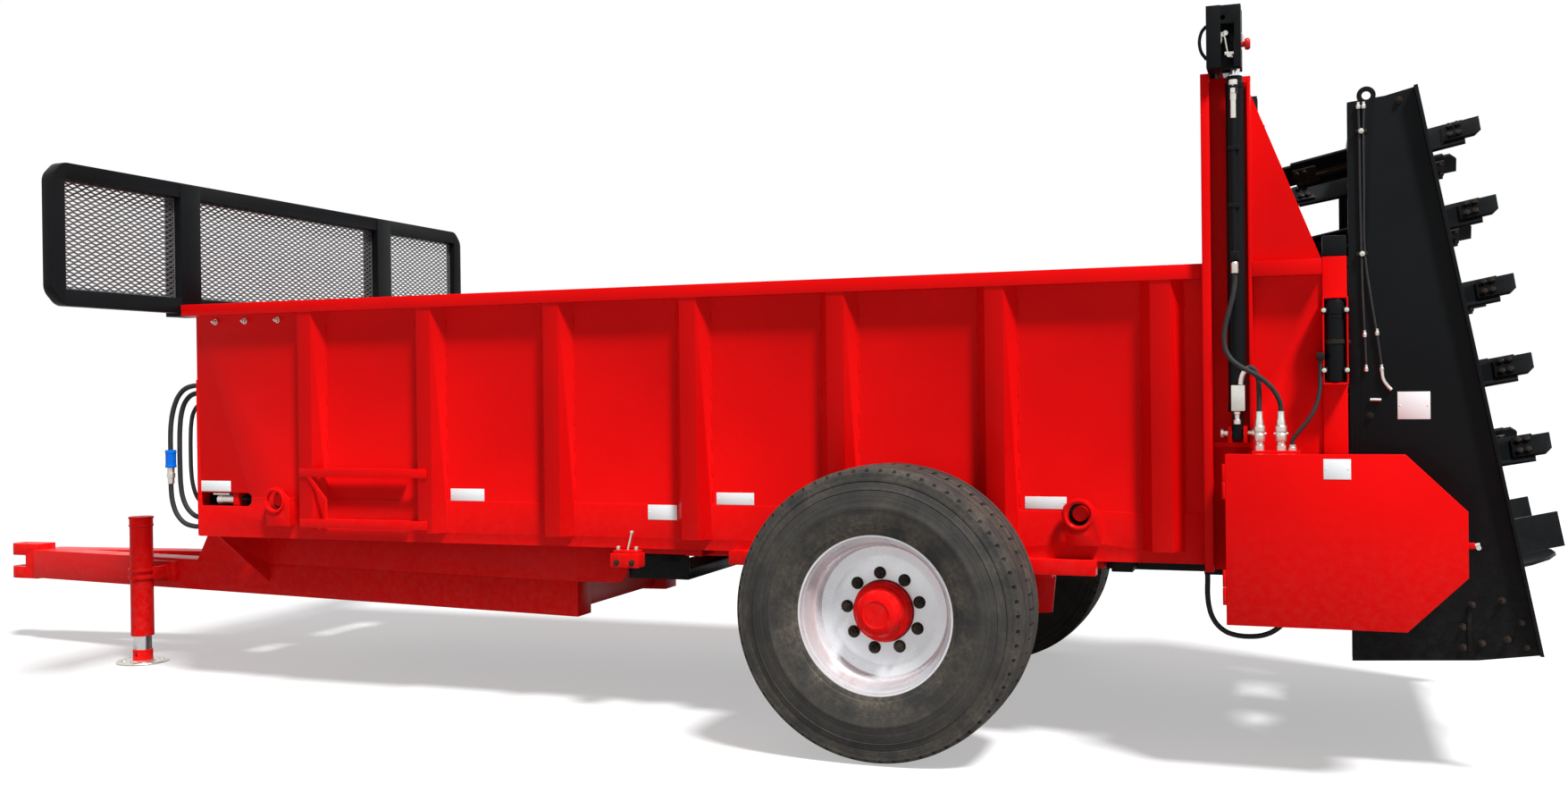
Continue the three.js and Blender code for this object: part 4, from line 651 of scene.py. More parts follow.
# ---------------------------------------------------------------- free hoses
# Route points in millimetres, measured along the machine from the axle.
HOSE_ROUTES = {
    "tractor_hose_outer": [
        (-3517.3, -744, 1436), (-3537, -744, 1436), (-3557, -744, 1436), (-3610, -744, 1422),
        (-3652, -744, 1386), (-3681, -744, 1330), (-3698, -744, 1262), (-3704, -744, 1190),
        (-3704, -744, 1100), (-3704, -744, 1010), (-3704, -744, 925), (-3694, -744, 864),
        (-3668, -744, 810), (-3622, -744, 771), (-3561, -744, 757), (-3539, -744, 757),
        (-3517.3, -744, 757),
    ],
    "tractor_hose_middle": [
        (-3517.3, -712, 1402), (-3537, -712, 1402), (-3557, -712, 1402), (-3606, -712, 1389),
        (-3643, -712, 1354), (-3665, -712, 1300), (-3675, -712, 1230), (-3678, -712, 1140),
        (-3678, -712, 1050), (-3675, -712, 960), (-3664, -712, 896), (-3637, -712, 843),
        (-3595, -712, 808), (-3557, -712, 797), (-3537, -712, 796), (-3517.3, -712, 796),
    ],
    "tractor_hose_inner": [
        (-3517.3, -682, 1352), (-3535, -682, 1352), (-3552, -682, 1352), (-3592, -682, 1338),
        (-3620, -682, 1302), (-3633, -682, 1250), (-3638, -682, 1180), (-3639, -682, 1100),
        (-3637, -682, 1020), (-3628, -682, 955), (-3606, -682, 898), (-3571, -682, 862),
        (-3546, -682, 853), (-3532, -682, 851), (-3517.3, -682, 851),
    ],
    "gate_hose": [
        (1257, -900, 1783.7), (1257, -900, 1765), (1257, -900, 1746), (1249, -902, 1692),
        (1235, -904, 1638), (1223, -906, 1588), (1218, -909, 1544), (1223, -913, 1504),
        (1241, -919, 1470), (1270, -926, 1444), (1305, -930, 1424), (1342, -926, 1400),
        (1374, -916, 1370), (1396, -907, 1336), (1407, -901, 1306), (1408, -900, 1293),
        (1408, -900, 1281.3),
    ],
    "post_hose": [
        (1541, -862, 1461.7), (1541, -862, 1444), (1541, -862, 1426), (1540, -867, 1380),
        (1534, -876, 1332), (1521, -885, 1288), (1500, -893, 1250), (1477, -898, 1221),
        (1459, -900, 1198), (1448, -900, 1180), (1446, -900, 1171), (1446, -900, 1162.6),
    ],
    "rear_hose": [
        (1128, -520, 661.7), (1128, -520, 642), (1128, -520, 622), (1127, -520, 575),
        (1131, -520, 530), (1142, -520, 488), (1163, -520, 453), (1195, -520, 428),
        (1235, -520, 416), (1284, -520, 414), (1330, -520, 421), (1370, -520, 440),
        (1402, -520, 470), (1423, -520, 510), (1433, -520, 558), (1436, -520, 622),
        (1436, -520, 642), (1436, -520, 661.7),
    ],
}
# Each hose's diameter, its real length and how it hangs.
HOSE_FACTS = {
    "tractor_hose_outer": (0.024, 0.911, "hanging"),
    "tractor_hose_middle": (0.024, 0.801, "hanging"),
    "tractor_hose_inner": (0.020, 0.641, "hanging"),
    "gate_hose": (0.018, 0.593, "hanging"),
    "post_hose": (0.014, 0.328, "hanging"),
    "rear_hose": (0.020, 0.682, "hanging"),
}


def smooth_route(points, parts=8):
    """The centripetal curve through the points, as a dense line."""
    ends = [points[0] * 2 - points[1], points[-1] * 2 - points[-2]]
    padded = [ends[0], *points, ends[1]]
    line = []
    for before, start, end, after in zip(padded, padded[1:], padded[2:], padded[3:]):
        steps = [max(math.sqrt((b - a).length), 1e-6)
                 for a, b in ((before, start), (start, end), (end, after))]
        leave = ((start - before) / steps[0] - (end - before) / (steps[0] + steps[1])
                 + (end - start) / steps[1]) * steps[1]
        arrive = ((end - start) / steps[1] - (after - start) / (steps[1] + steps[2])
                  + (after - end) / steps[2]) * steps[1]
        for part in range(parts):
            t = part / parts
            line.append(start * (2 * t**3 - 3 * t**2 + 1) + leave * (t**3 - 2 * t**2 + t)
                        + end * (3 * t**2 - 2 * t**3) + arrive * (t**3 - t**2))
    return [*line, points[-1]]


def free_hose(node, fittings):
    """A hydraulic hose on its route, drawn as a capped round curve of its diameter."""
    diameter, length, lay = HOSE_FACTS[node]
    points = [at(*point) for point in HOSE_ROUTES[node]]
    line = smooth_route(points)
    curve = bpy.data.curves.new(node + "_line", "CURVE")
    curve.dimensions = "3D"
    curve.bevel_depth = diameter / 2
    curve.bevel_resolution = 3
    curve.use_fill_caps = True
    spline = curve.splines.new("POLY")
    spline.points.add(len(line) - 1)
    for point, place in zip(spline.points, line):
        point.co = (*place, 1)
    spline.use_smooth = True
    piece = bpy.data.objects.new(node + "_line", curve)
    bpy.context.scene.collection.objects.link(piece)
    curve.materials.append(FINISHES["hose_rubber"])
    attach(piece, NODE_BODY[node])
    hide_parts(node)
    return piece


def free_hoses():
    for node in HOSE_ROUTES:
        free_hose(node, hose_coupler() if node == "tractor_hose_outer" else [])


# ---------------------------------------------------------------- wheels
def tyre(side):
    """A ribbed road tyre: one pitch of the tread is cut with its notches, then repeated round."""
    node = f"{side}_tyre"
    low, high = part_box(node)
    centre = (low + high) / 2
    half = (high.y - low.y) / 2
    top = TYRE_RADIUS
    tread = half * 0.86
    groove = 0.011
    profile = [(0.2895, half - 0.052), (0.2915, half - 0.038), (0.300, half - 0.031),
               (0.313, half - 0.026), (0.318, half - 0.0195), (0.332, half - 0.014),
               (0.372, half - 0.004), (0.392, half - 0.001), (0.394, half), (0.404, half),
               (0.406, half - 0.0012), (0.432, half - 0.0025), (0.462, half - 0.011),
               (0.464, half - 0.009), (0.469, half - 0.0115), (0.471, half - 0.0145),
               (0.492, half - 0.021), (0.495, half - 0.0185), (0.512, half - 0.0215),
               (top - 0.022, tread + 0.007), (top - 0.0085, tread - 0.006)]
    rib = 2 * tread / 5
    for edge in (3, 1):
        middle = rib * edge / 2
        crown = 0.0075 * (middle / tread) ** 2
        profile += [(top - crown, middle + 0.007), (top - crown - groove, middle + 0.0045),
                    (top - crown - groove, middle - 0.0045), (top - crown, middle - 0.007)]
    profile += [(radius, -along) for radius, along in reversed(profile)]
    profile.append(profile[0])

    pitches = 64
    step = 2 * math.pi / pitches
    piece = chain([(0, along, radius) for radius, along in profile])
    pick(piece)
    edit_mode()
    bpy.ops.mesh.select_all(action="SELECT")
    bpy.ops.mesh.remove_doubles(threshold=0.00005)
    bpy.ops.mesh.select_all(action="SELECT")
    bpy.ops.mesh.spin(steps=4, angle=step, center=(0, 0, 0), axis=(0, 1, 0))
    object_mode()
    recalculate(piece)

    def in_notch(place):
        turn = math.atan2(place.x, place.z) % step
        return step * 0.5 < abs(turn) % step < step * 0.75
    # shoulder notches: one strip of the pitch is sunk at the outer ribs and across the rib edges
    for wanted in (
        lambda c: in_notch(c) and top - 0.024 < c.xz.length and tread - 0.032 < abs(c.y),
        lambda c: in_notch(c) and top - 0.006 < c.xz.length and abs(c.y) < rib * 0.48,
    ):
        pick_faces(piece, wanted)
        bpy.ops.mesh.extrude_region_move(TRANSFORM_OT_translate={"value": (0, 0, 0)})
        bpy.ops.transform.resize(value=(1 - 0.012 / top, 1, 1 - 0.012 / top),
                                 center_override=(0, 0, 0))
        object_mode()
    pick(piece)
    edit_mode()
    bpy.ops.mesh.select_all(action="SELECT")
    bpy.ops.mesh.spin(steps=pitches, angle=2 * math.pi, center=(0, 0, 0), axis=(0, 1, 0), dupli=True)
    object_mode()
    recalculate(piece, 0.00012)
    piece.location = centre
    pick(piece)
    bpy.ops.object.shade_smooth_by_angle(angle=math.radians(30))
    return settle(piece, f"{side}_ribbed_tyre", f"{side}_wheel", FINISHES["tyre"], "tyre", [node])


def rim(side):
    """A rolled steel rim with its dished disc, spun in one profile."""
    sign = -1 if side == "left" else 1
    low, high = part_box(f"{side}_rim")
    centre = (low + high) / 2
    half = (high.y - low.y) / 2
    disc = half - DISC_INSET
    outer = [(0.2985, half - 0.004), (0.2955, half), (0.2885, half - 0.001), (0.2845, half - 0.008),
             (0.2835, half - 0.020), (0.2815, half - 0.034), (0.274, half - 0.046),
             (0.269, half - 0.058), (0.262, half - 0.074), (0.254, half - 0.082),
             (0.2515, half - 0.100), (0.250, disc + 0.016), (0.243, disc + 0.004),
             (0.228, disc), (0.212, disc - 0.004), (0.200, disc - 0.004), (0.192, disc),
             (0.118, disc), (0.1145, disc - 0.003), (0.1145, disc - 0.012)]
    inner = [(0.236, disc - 0.013), (0.2485, disc - 0.022), (0.2495, -half + 0.090),
             (0.262, -half + 0.070), (0.2815, -half + 0.034), (0.2835, -half + 0.020),
             (0.2885, -half + 0.001), (0.2955, -half), (0.2985, -half + 0.004),
             (0.2975, -half + 0.012), (0.2895, -half + 0.024), (0.2872, -half + 0.042),
             (0.262, -half + 0.085), (0.2585, -half + 0.12), (0.2585, half - 0.100),
             (0.2665, half - 0.070), (0.2872, half - 0.042), (0.2895, half - 0.024),
             (0.2975, half - 0.012), (0.2985, half - 0.004)]
    piece = turned(outer + inner, centre, (0, sign, 0), 72, 32)
    return settle(piece, f"{side}_dished_rim", f"{side}_wheel", FINISHES["polished_rim"],
                  "polished_rim", [f"{side}_rim"])


def wheel_nut(centre, axis):
    """A hexagonal nut on its stud, with a washer under it."""
    deselect()
    bpy.ops.mesh.primitive_cylinder_add(vertices=6, radius=0.0185, depth=0.020,
                                        location=(0, 0, 0.013))
    nut = bpy.context.object
    apply_place(nut)
    soften(nut, 0.0022)
    stud = turned([(0, -0.002), (0.0105, -0.002), (0.0105, 0.034), (0.0085, 0.0365), (0, 0.0365)],
                  (0, 0, 0), (0, 0, 1), 16)
    washer = turned([(0, -0.0005), (0.0235, -0.0005), (0.0235, 0.003), (0, 0.0035)], (0, 0, 0),
                    (0, 0, 1), 24)
    piece = joined([nut, stud, washer])
    piece.matrix_world = Matrix.Translation(centre) @ frame_of(axis)
    apply_place(piece)
    return piece


def hub(side):
    """The cast hub with its stepped cap, and nine nuts round it."""
    sign = -1 if side == "left" else 1
    low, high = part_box(f"{side}_hub")
    rim_low, rim_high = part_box(f"{side}_rim")
    flange = rim_high.y if sign > 0 else rim_low.y
    disc = Vector((AXLE.x, flange - sign * DISC_INSET, AXLE.z))
    tip = abs((high.y if sign > 0 else low.y) - disc.y)
    root = -abs((low.y if sign > 0 else high.y) - disc.y)
    barrel = turned([
        (0.0445, root), (0.19, root), (0.206, root + 0.006), (0.206, -0.030), (0.200, -0.0125),
        (0.1125, -0.0125), (0.1125, 0.024), (0.106, 0.034), (0.0945, 0.038), (0.0925, 0.046),
        (0.0885, 0.050), (0.0865, tip * 0.62), (0.0845, tip - 0.026), (0.078, tip - 0.012),
        (0.066, tip - 0.004), (0.050, tip - 0.0015), (0.046, tip - 0.004), (0.024, tip - 0.005),
        (0, tip - 0.005), (0, root + 0.05), (0.0445, root + 0.05), (0.0445, root),
    ], disc, (0, sign, 0), 48, 28)
    hub_piece = settle(barrel, f"{side}_hub_casting", f"{side}_wheel", RED_PAINT, "red_paint",
                       [f"{side}_hub"])
    nuts = []
    for turn in range(WHEEL_NUTS):
        angle = math.radians(40 * turn + 95)
        spot = disc + Vector((NUT_CIRCLE * math.cos(angle), 0, NUT_CIRCLE * math.sin(angle)))
        nuts.append(wheel_nut(spot, (0, sign, 0)))
    settle(joined(nuts), f"{side}_wheel_nuts", f"{side}_wheel", NUT_BLACK)
    return hub_piece


def wheels():
    for side in ("left", "right"):
        tyre(side)
        rim(side)
        hub(side)


# ---------------------------------------------------------------- round parts
def bolts(name, body, places, axis, radius=0.009, stud=0.0, material=None):
    """Hexagon heads on washers, some with a stud past the nut; one is made and then copied."""
    deselect()
    bpy.ops.mesh.primitive_cylinder_add(vertices=6, radius=radius, depth=radius * 1.2,
                                        location=(0, 0, radius * 0.8))
    head = bpy.context.object
    apply_place(head)
    soften(head, radius * 0.12)
    washer = turned([(0, -0.0005), (radius * 1.3, -0.0005), (radius * 1.3, radius * 0.22),
                     (0, radius * 0.22)], Vector(), UP, 18)
    made = [head, washer]
    if stud:
        made.append(round_bar(Vector((0, 0, radius)), Vector((0, 0, radius * 1.4 + stud)),
                              radius * 0.55, 0.0008, 12))
    model = joined(made)
    heads = [placed_copy(model, place, axis) for place in places]
    bpy.data.objects.remove(model)
    return settle(joined(heads), name, body, material or ZINC)


def jack():
    """The drawbar's screw jack: a capped tube in its clamp, a plated leg, a socket and a foot."""
    low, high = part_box("jack_leg")
    x, y = (low.x + high.x) / 2, (low.y + high.y) / 2
    foot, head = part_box("jack_tube")[0].z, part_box("jack_tube")[1].z
    length = head - foot
    shell = turned([
        (0.0455, 0), (0.055, 0), (0.057, 0.002), (0.057, length - 0.052), (0.061, length - 0.050),
        (0.062, length - 0.044), (0.058, length - 0.040), (0.058, length - 0.014),
        (0.062, length - 0.010), (0.062, length - 0.002), (0.060, length), (0, length),
        (0, length - 0.056), (0.0455, length - 0.056), (0.0455, 0),
    ], Vector((x, y, foot)), UP, 48, 28)
    centre = (x - AXLE.x) * 1000
    back = y * 1000 + 113.5
    bracket = block((centre - 79, centre + 79), (back - 12, back), (430, 500), 0.003)
    ears = [block((centre + shift - 7, centre + shift + 7), (y * 1000 + 8, back - 2), (432, 498), 0.002)
            for shift in (-66, 66)]
    clamps = [turned([(0.0565, -0.008), (0.066, -0.008), (0.067, -0.006), (0.067, 0.006),
                      (0.066, 0.008), (0.0565, 0.008), (0.0565, -0.008)],
                     Vector((x, y, level)), UP, 48, 28) for level in (0.446, 0.484)]
    settle(joined([shell, bracket, *ears, *clamps]), "jack_tube_shell", NODE_BODY["jack_tube"],
           RED_PAINT, None, ["jack_tube"])
    bolts("jack_clamp_bolts", NODE_BODY["jack_tube"],
          [Vector((x + shift, y + 0.098, level)) for shift in (-0.048, 0.048) for level in (0.45, 0.48)],
          LEFT, 0.008)
    leg = turned([(0, 0.066), (0.043, 0.066), (0.044, 0.067), (0.044, high.z), (0, high.z)],
                 Vector((x, y, 0)), UP, 48, 28)
    settle(leg, "jack_inner_leg", NODE_BODY["jack_leg"], FINISHES["chrome_rod"], None, ["jack_leg"])
    socket = turned([(0, 0.013), (0.052, 0.013), (0.050, 0.018), (0.049, 0.020), (0.049, 0.066),
                     (0.047, 0.069), (0, 0.069)], Vector((x, y, 0)), UP, 48, 28)
    pin_hole = round_bar(Vector((x, y - 0.06, 0.040)), Vector((x, y + 0.06, 0.040)), 0.008)
    settle(cut_out(socket, pin_hole), "jack_foot_socket", NODE_BODY["jack_leg"], RED_PAINT)
    plate = turned([(0, 0.0005), (0.110, 0.0005), (0.128, 0.004), (0.130, 0.007), (0.128, 0.010),
                    (0.114, 0.0085), (0.070, 0.0085), (0.060, 0.014), (0, 0.014)],
                   Vector((x, y, 0)), UP, 64, 28)
    holes = []
    for turn in range(4):
        angle = math.radians(90 * turn + 45)
        spot = Vector((x + 0.09 * math.cos(angle), y + 0.09 * math.sin(angle), 0))
        holes.append(round_bar(spot - UP * 0.01, spot + UP * 0.03, 0.011))
    settle(cut_out(plate, *holes), "jack_foot_plate", NODE_BODY["jack_leg"], ZINC)


def driveline():
    """The power shaft under the floor, with its shield, collar and bearing rings."""
    low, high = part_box("driveline")
    length = high.x - low.x
    shaft = turned([
        (0, 0), (0.0165, 0), (0.0175, 0.002), (0.0175, 0.055), (0.022, 0.060), (0.022, 0.198),
        (0.030, 0.200), (0.034, 0.206), (0.034, 0.254), (0.030, 0.260), (0.022, 0.262),
        (0.022, length - 0.08), (0.0215, length - 0.078), (0.0215, length - 0.002),
        (0.020, length), (0, length),
    ], Vector((low.x, 0, (low.z + high.z) / 2)), ALONG, 32, 28)
    settle(shaft, "power_shaft", NODE_BODY["driveline"], FINISHES["worn_steel"], None, ["driveline"])


# ---------------------------------------------------------------- gate cylinders and header
def gate_cylinder(side, hand):
    """A lift cylinder: barrel with its gland, the feed pipe and couplings, the rod and its eye."""
    axis_y, pipe_y = CYLINDER_Y * hand, PIPE_Y * hand
    body = NODE_BODY[f"{side}_gate_barrel"]
    barrel = turned([
        (0.0195, 0.060), (0.0195, 1.210), (0.028, 1.210), (0.0285, 1.206), (0.0285, 1.190),
        (0.033, 1.186), (0.033, 1.168), (0.0315, 1.166), (0.0315, 0.030), (0.033, 0.028),
        (0.033, 0.002), (0.031, 0), (0, 0), (0, 0.060), (0.0195, 0.060),
    ], at(CYLINDER_X, axis_y, 1278), UP, 48, 28)
    eye = block((1241, 1279), (axis_y - 20, axis_y + 20), (1176, 1280), 0.004)
    pipe = round_bar(at(PIPE_X, pipe_y, 1784), at(PIPE_X, pipe_y, 2446), 0.009)
    near, far = sorted((pipe_y + 12 * hand, axis_y + 25 * hand))
    ports = [block((1243, 1271), (near, far), (low, low + 30), 0.003) for low in (1824, 2418)]
    clip_y = tuple(sorted((pipe_y + 12 * hand, axis_y + 30 * hand)))
    clips = [block((1238, 1276), clip_y, (low, low + 16), 0.002) for low in (2010, 2215)]
    settle(joined([barrel, eye, pipe, *ports, *clips]), f"{side}_lift_barrel", body, BLACK_PAINT, None,
           [f"{side}_gate_barrel"])
    coupling = turned([
        (0, 0), (0.011, 0), (0.0115, 0.022), (0.0145, 0.023), (0.0145, 0.040), (0.012, 0.042),
        (0.012, 0.052), (0.0155, 0.053), (0.0155, 0.070), (0.013, 0.072), (0, 0.072),
    ], at(PIPE_X, pipe_y, 2396), UP, 24, 28)
    ferrule = turned([(0, 0), (0.0125, 0), (0.013, 0.002), (0.013, 0.036), (0.0105, 0.040), (0, 0.040)],
                     at(PIPE_X, pipe_y, 1776), UP, 24, 28)
    tail = round_bar(at(PIPE_X, pipe_y, 2330), at(PIPE_X, pipe_y, 2397), 0.0098)
    valve_near, valve_far = sorted((pipe_y + 14 * hand, axis_y + 31 * hand))
    check_valve = block((1240, 1288), (valve_near, valve_far), (1282, 1376), 0.004)
    nut = turned([(0, 0), (0.013, 0), (0.013, 0.014), (0.009, 0.018), (0.009, 0.034), (0.012, 0.036),
                  (0.012, 0.044), (0, 0.044)], at(CYLINDER_X, pipe_y, 1236), UP, 20, 28)
    pin = round_bar(at(1208, axis_y, 1202), at(1312, axis_y, 1202), 0.010, 0.002)
    heads = [turned([(0, 0), (0.016, 0), (0.017, 0.002), (0.017, 0.010), (0.015, 0.012), (0, 0.012)],
                    at(x, axis_y, 1202), (turn, 0, 0), 20, 28) for x, turn in ((1212, -1), (1308, 1))]
    settle(joined([coupling, ferrule, tail, check_valve, nut, pin, *heads]),
           f"{side}_cylinder_fittings", body, ZINC)
    rod = round_bar(at(CYLINDER_X, axis_y, 1370), at(CYLINDER_X, axis_y, 2582), 0.019, 0.002, 40)
    ring = turned([
        (0.0145, -0.016), (0.036, -0.016), (0.038, -0.014), (0.038, 0.014), (0.036, 0.016),
        (0.0145, 0.016), (0.0145, -0.016)], at(CYLINDER_X, axis_y, 2614), LEFT, 40, 28)
    settle(joined([rod, ring]), f"{side}_lift_rod", NODE_BODY[f"{side}_gate_rod"],
           FINISHES["chrome_rod"], None, [f"{side}_gate_rod"])


def header_end(side, hand):
    """The plate on the header's end with its window, the pin's clips, a hook and a knob."""
    face = 930.2 * hand
    y = tuple(sorted((face, face - 8 * hand)))
    past = tuple(sorted((face + 20 * hand, face - 28 * hand)))
    plate = block((1168, 1287), y, (2512, 2730), 0)
    plate = cut_out(plate, block((1186, 1264), past, (2596, 2664), 0),
                    block((1216, 1262), past, (2490, 2600), 0))
    eyelet = round_bar(at(1225, past[0], 2686), at(1225, past[1], 2686), 0.009)
    cut_out(plate, eyelet)
    soften(plate, 0.0025)
    lip = [block((x, x + 6), tuple(sorted((face - 6 * hand, face - 46 * hand))), (2512, 2730), 0.0015)
           for x in (1168, 1281)]
    roof = block((1168, 1287), tuple(sorted((face - 6 * hand, face - 46 * hand))), (2724, 2730), 0.0015)
    hook = tube([at(1168, face - 20 * hand, 2665), at(1150, face - 20 * hand, 2640),
                 at(1148, face - 20 * hand, 2580), at(1168, face - 20 * hand, 2545)], 0.006)
    settle(joined([plate, *lip, roof, hook]), f"{side}_header_end", NODE_BODY["gate_header"], BLACK_PAINT)
    inner = 906 * hand
    clip = tube([at(1228, inner, 2632), at(1233, inner, 2610), at(1238, inner, 2580),
                 at(1246, inner, 2556), at(1258, inner, 2548)], 0.0042)
    second = tube([at(1216, inner, 2628), at(1219, inner, 2612), at(1214, inner, 2596)], 0.0042)
    nuts = [turned([(0, -0.006), (0.009, -0.006), (0.009, 0.006), (0, 0.006)], at(x, inner, z), LEFT, 14)
            for x, z in ((1220, 2630), (1234, 2634), (1246, 2556))]
    bar = round_bar(at(1230, inner, 2562), at(1264, inner, 2562), 0.007, 0.001, 14)
    settle(joined([clip, second, bar, *nuts]), f"{side}_header_pin_clips", NODE_BODY["gate_header"], ZINC)
    knob = turned([(0, 0), (0.010, 0), (0.010, 0.012), (0.019, 0.014), (0.021, 0.020), (0.021, 0.026),
                   (0.016, 0.032), (0, 0.033)], at(1286, face - 26 * hand, 2590), ALONG, 28, 40)
    settle(knob, f"{side}_header_knob", NODE_BODY["gate_header"], RED_KNOB)


def rear_post(side, hand):
    """The flat post behind the gusset and the black cap that closes the box's corner."""
    outer, inner = 794.3 * hand, 780.3 * hand
    long = (1550.3, 1633)
    post = block(long, tuple(sorted((outer, inner))), (700, 1832), 0.004)
    settle(post, f"{side}_corner_post", NODE_BODY[f"{side}_rear_post"], RED_PAINT, None,
           [f"{side}_rear_post"])
    cap = block(long, tuple(sorted((outer, 730.3 * hand))), (1832, 1906), 0.006)
    settle(cap, f"{side}_post_cap", NODE_BODY[f"{side}_rear_post"], BLACK_PAINT)


def tensioner(side, hand):
    """The apron's tensioner in its slot: near-black sheets of painted shade lining the slot, a plated
    cylinder, a seat and a bolt.
    """
    node = f"{side}_chain_tensioner"
    body = NODE_BODY[node]
    y = 743.7 * hand
    # Painted shade: thin near-black sheets at the back, top and bottom of the slot stand in for the shade
    # inside it.
    shade_sheet = block((-3498.7, -3168.7), tuple(sorted((713.7 * hand, 709.7 * hand))), (846, 942), 0.001)
    ledge = block((-3498.7, -3168.7), tuple(sorted((773.7 * hand, 711.7 * hand))), (938, 942), 0.001)
    floor = block((-3498.7, -3168.7), tuple(sorted((773.7 * hand, 711.7 * hand))), (846, 850), 0.001)
    settle(joined([shade_sheet, ledge, floor]), f"{side}_tensioner_painted_shade", body, SHADE_BLACK, None, [node])
    barrel = turned([(0, 0), (0.023, 0), (0.025, 0.002), (0.025, 0.030), (0.022, 0.032),
                     (0.022, 0.098), (0, 0.098)], at(-3408.7, y, 890), ALONG, 32, 28)
    strip = block((-3425, -3330), tuple(sorted((772 * hand, 735 * hand))), (914, 922), 0.001)
    settle(joined([barrel, strip]), f"{side}_tensioner_cylinder", body, ZINC)
    seat = block((-3310.7, -3277), tuple(sorted((770 * hand, 712 * hand))), (862, 926), 0.003)
    settle(seat, f"{side}_tensioner_seat", body, RED_PAINT)
    profile = [(0, 0)]
    for thread in range(22):
        profile += [(0.0105, 0.003 * thread + 0.0005), (0.0088, 0.003 * thread + 0.002)]
    profile += [(0.0088, 0.068), (0.006, 0.082), (0.003, 0.096), (0, 0.096)]
    settle(turned(profile, at(-3278, y, 894), ALONG, 20, 20), f"{side}_tensioner_bolt", body, NUT_BLACK)


# ---------------------------------------------------------------- welds, bolts and plates
def rib_welds(side, hand):
    """Stitches where the ribs meet the sheet; one bead is made and then copied."""
    ripples, length = 10, 0.050
    profile = [(0, 0)]
    for ripple in range(ripples):
        start = ripple * length / ripples
        profile += [(0.0026, start + 0.0008), (0.0038, start + 0.0028), (0.0030, start + 0.0046)]
    profile.append((0, length))
    bead = turned(profile, Vector(), UP, 8, 60)
    stitches = [placed_copy(bead, at(rib + edge, 780.6 * hand, 920 + 106 * stitch), UP)
                for rib in RIBS for edge in (-RIB_HALF, RIB_HALF) for stitch in range(8)]
    bpy.data.objects.remove(bead)
    settle(joined(stitches), f"{side}_rib_welds", NODE_BODY[f"{side}_box_side"], RED_PAINT)


def housing_bolts(side, hand):
    face = -SKIN * hand
    outward = (0, hand, 0)
    studs = [(2028, 602), (2123, 620), (1999, 523), (2059, 469), (2139, 486), (2183, 546),
             (2198, 463), (2000, 452)]
    bolts(f"{side}_housing_studs", NODE_BODY[f"{side}_housing_side"],
          [at(x, face, z) for x, z in studs], outward, 0.010, 0.016, NUT_BLACK)
    heads = [(1810, 2373), (1706, 1262), (1675, 700), (1675, 560)]
    bolts(f"{side}_housing_bolts", NODE_BODY[f"{side}_housing_side"],
          [at(x, face, z) for x, z in heads], outward, 0.010, 0.0, NUT_BLACK)
    strap = block((2012, 2026), tuple(sorted((face, face + 6 * hand))), (440, 600), 0.002)
    settle(strap, f"{side}_housing_strap", NODE_BODY[f"{side}_housing_side"], BLACK_PAINT)


def beater_bolts(side, hand):
    """What holds the blades on one rotor's arms: bolts, nuts, a backing plate and a web."""
    twist = -hand
    lean = Matrix.Rotation(-BEATER_LEAN, 4, "Y")
    x, y, z = BEATER_FOOT
    foot = Matrix.Translation(at(x, y * hand, z))
    pitch = Matrix.Rotation(math.radians(BLADE_PITCH * twist), 4, "X")
    heads = []
    for reach in (0.262, 0.290):
        for offset in (-0.024, 0.024):
            deselect()
            bpy.ops.mesh.primitive_cylinder_add(vertices=6, radius=0.012, depth=0.013,
                                                location=(reach, offset, 0.032))
            head = bpy.context.object
            apply_place(head)
            soften(head, 0.0015)
            stud = round_bar(Vector((reach, offset, -0.026)), Vector((reach, offset, 0.0)), 0.0085, 0.001, 10)
            heads += [head, stud]
    deselect()
    bpy.ops.mesh.primitive_cube_add(size=1, location=(0.262, 0, -0.007))
    backing = bpy.context.object
    backing.scale = (0.088, 0.074, 0.014)
    apply_place(backing)
    soften(backing, 0.003)
    deselect()
    bpy.ops.mesh.primitive_cube_add(size=1, location=(0.148, 0, -0.014))
    web = bpy.context.object
    web.scale = (0.150, 0.014, 0.030)
    apply_place(web)
    soften(web, 0.002)
    model = joined([*heads, backing, web])
    arms = []
    for level in range(BLADE_LEVELS):
        for half_turn in (0, 180):
            azimuth = twist * (90 * (level + 1) - 10) + half_turn
            arm = copy_of(model)
            arm.matrix_world = (foot @ lean @ Matrix.Translation((0, 0, FIRST_BLADE + BLADE_STEP * level))
                                @ Matrix.Rotation(math.radians(azimuth), 4, "Z") @ pitch)
            apply_place(arm)
            arms.append(arm)
    bpy.data.objects.remove(model)
    settle(joined(arms), f"{side}_blade_bolts", f"{side}_rotor", NUT_BLACK)


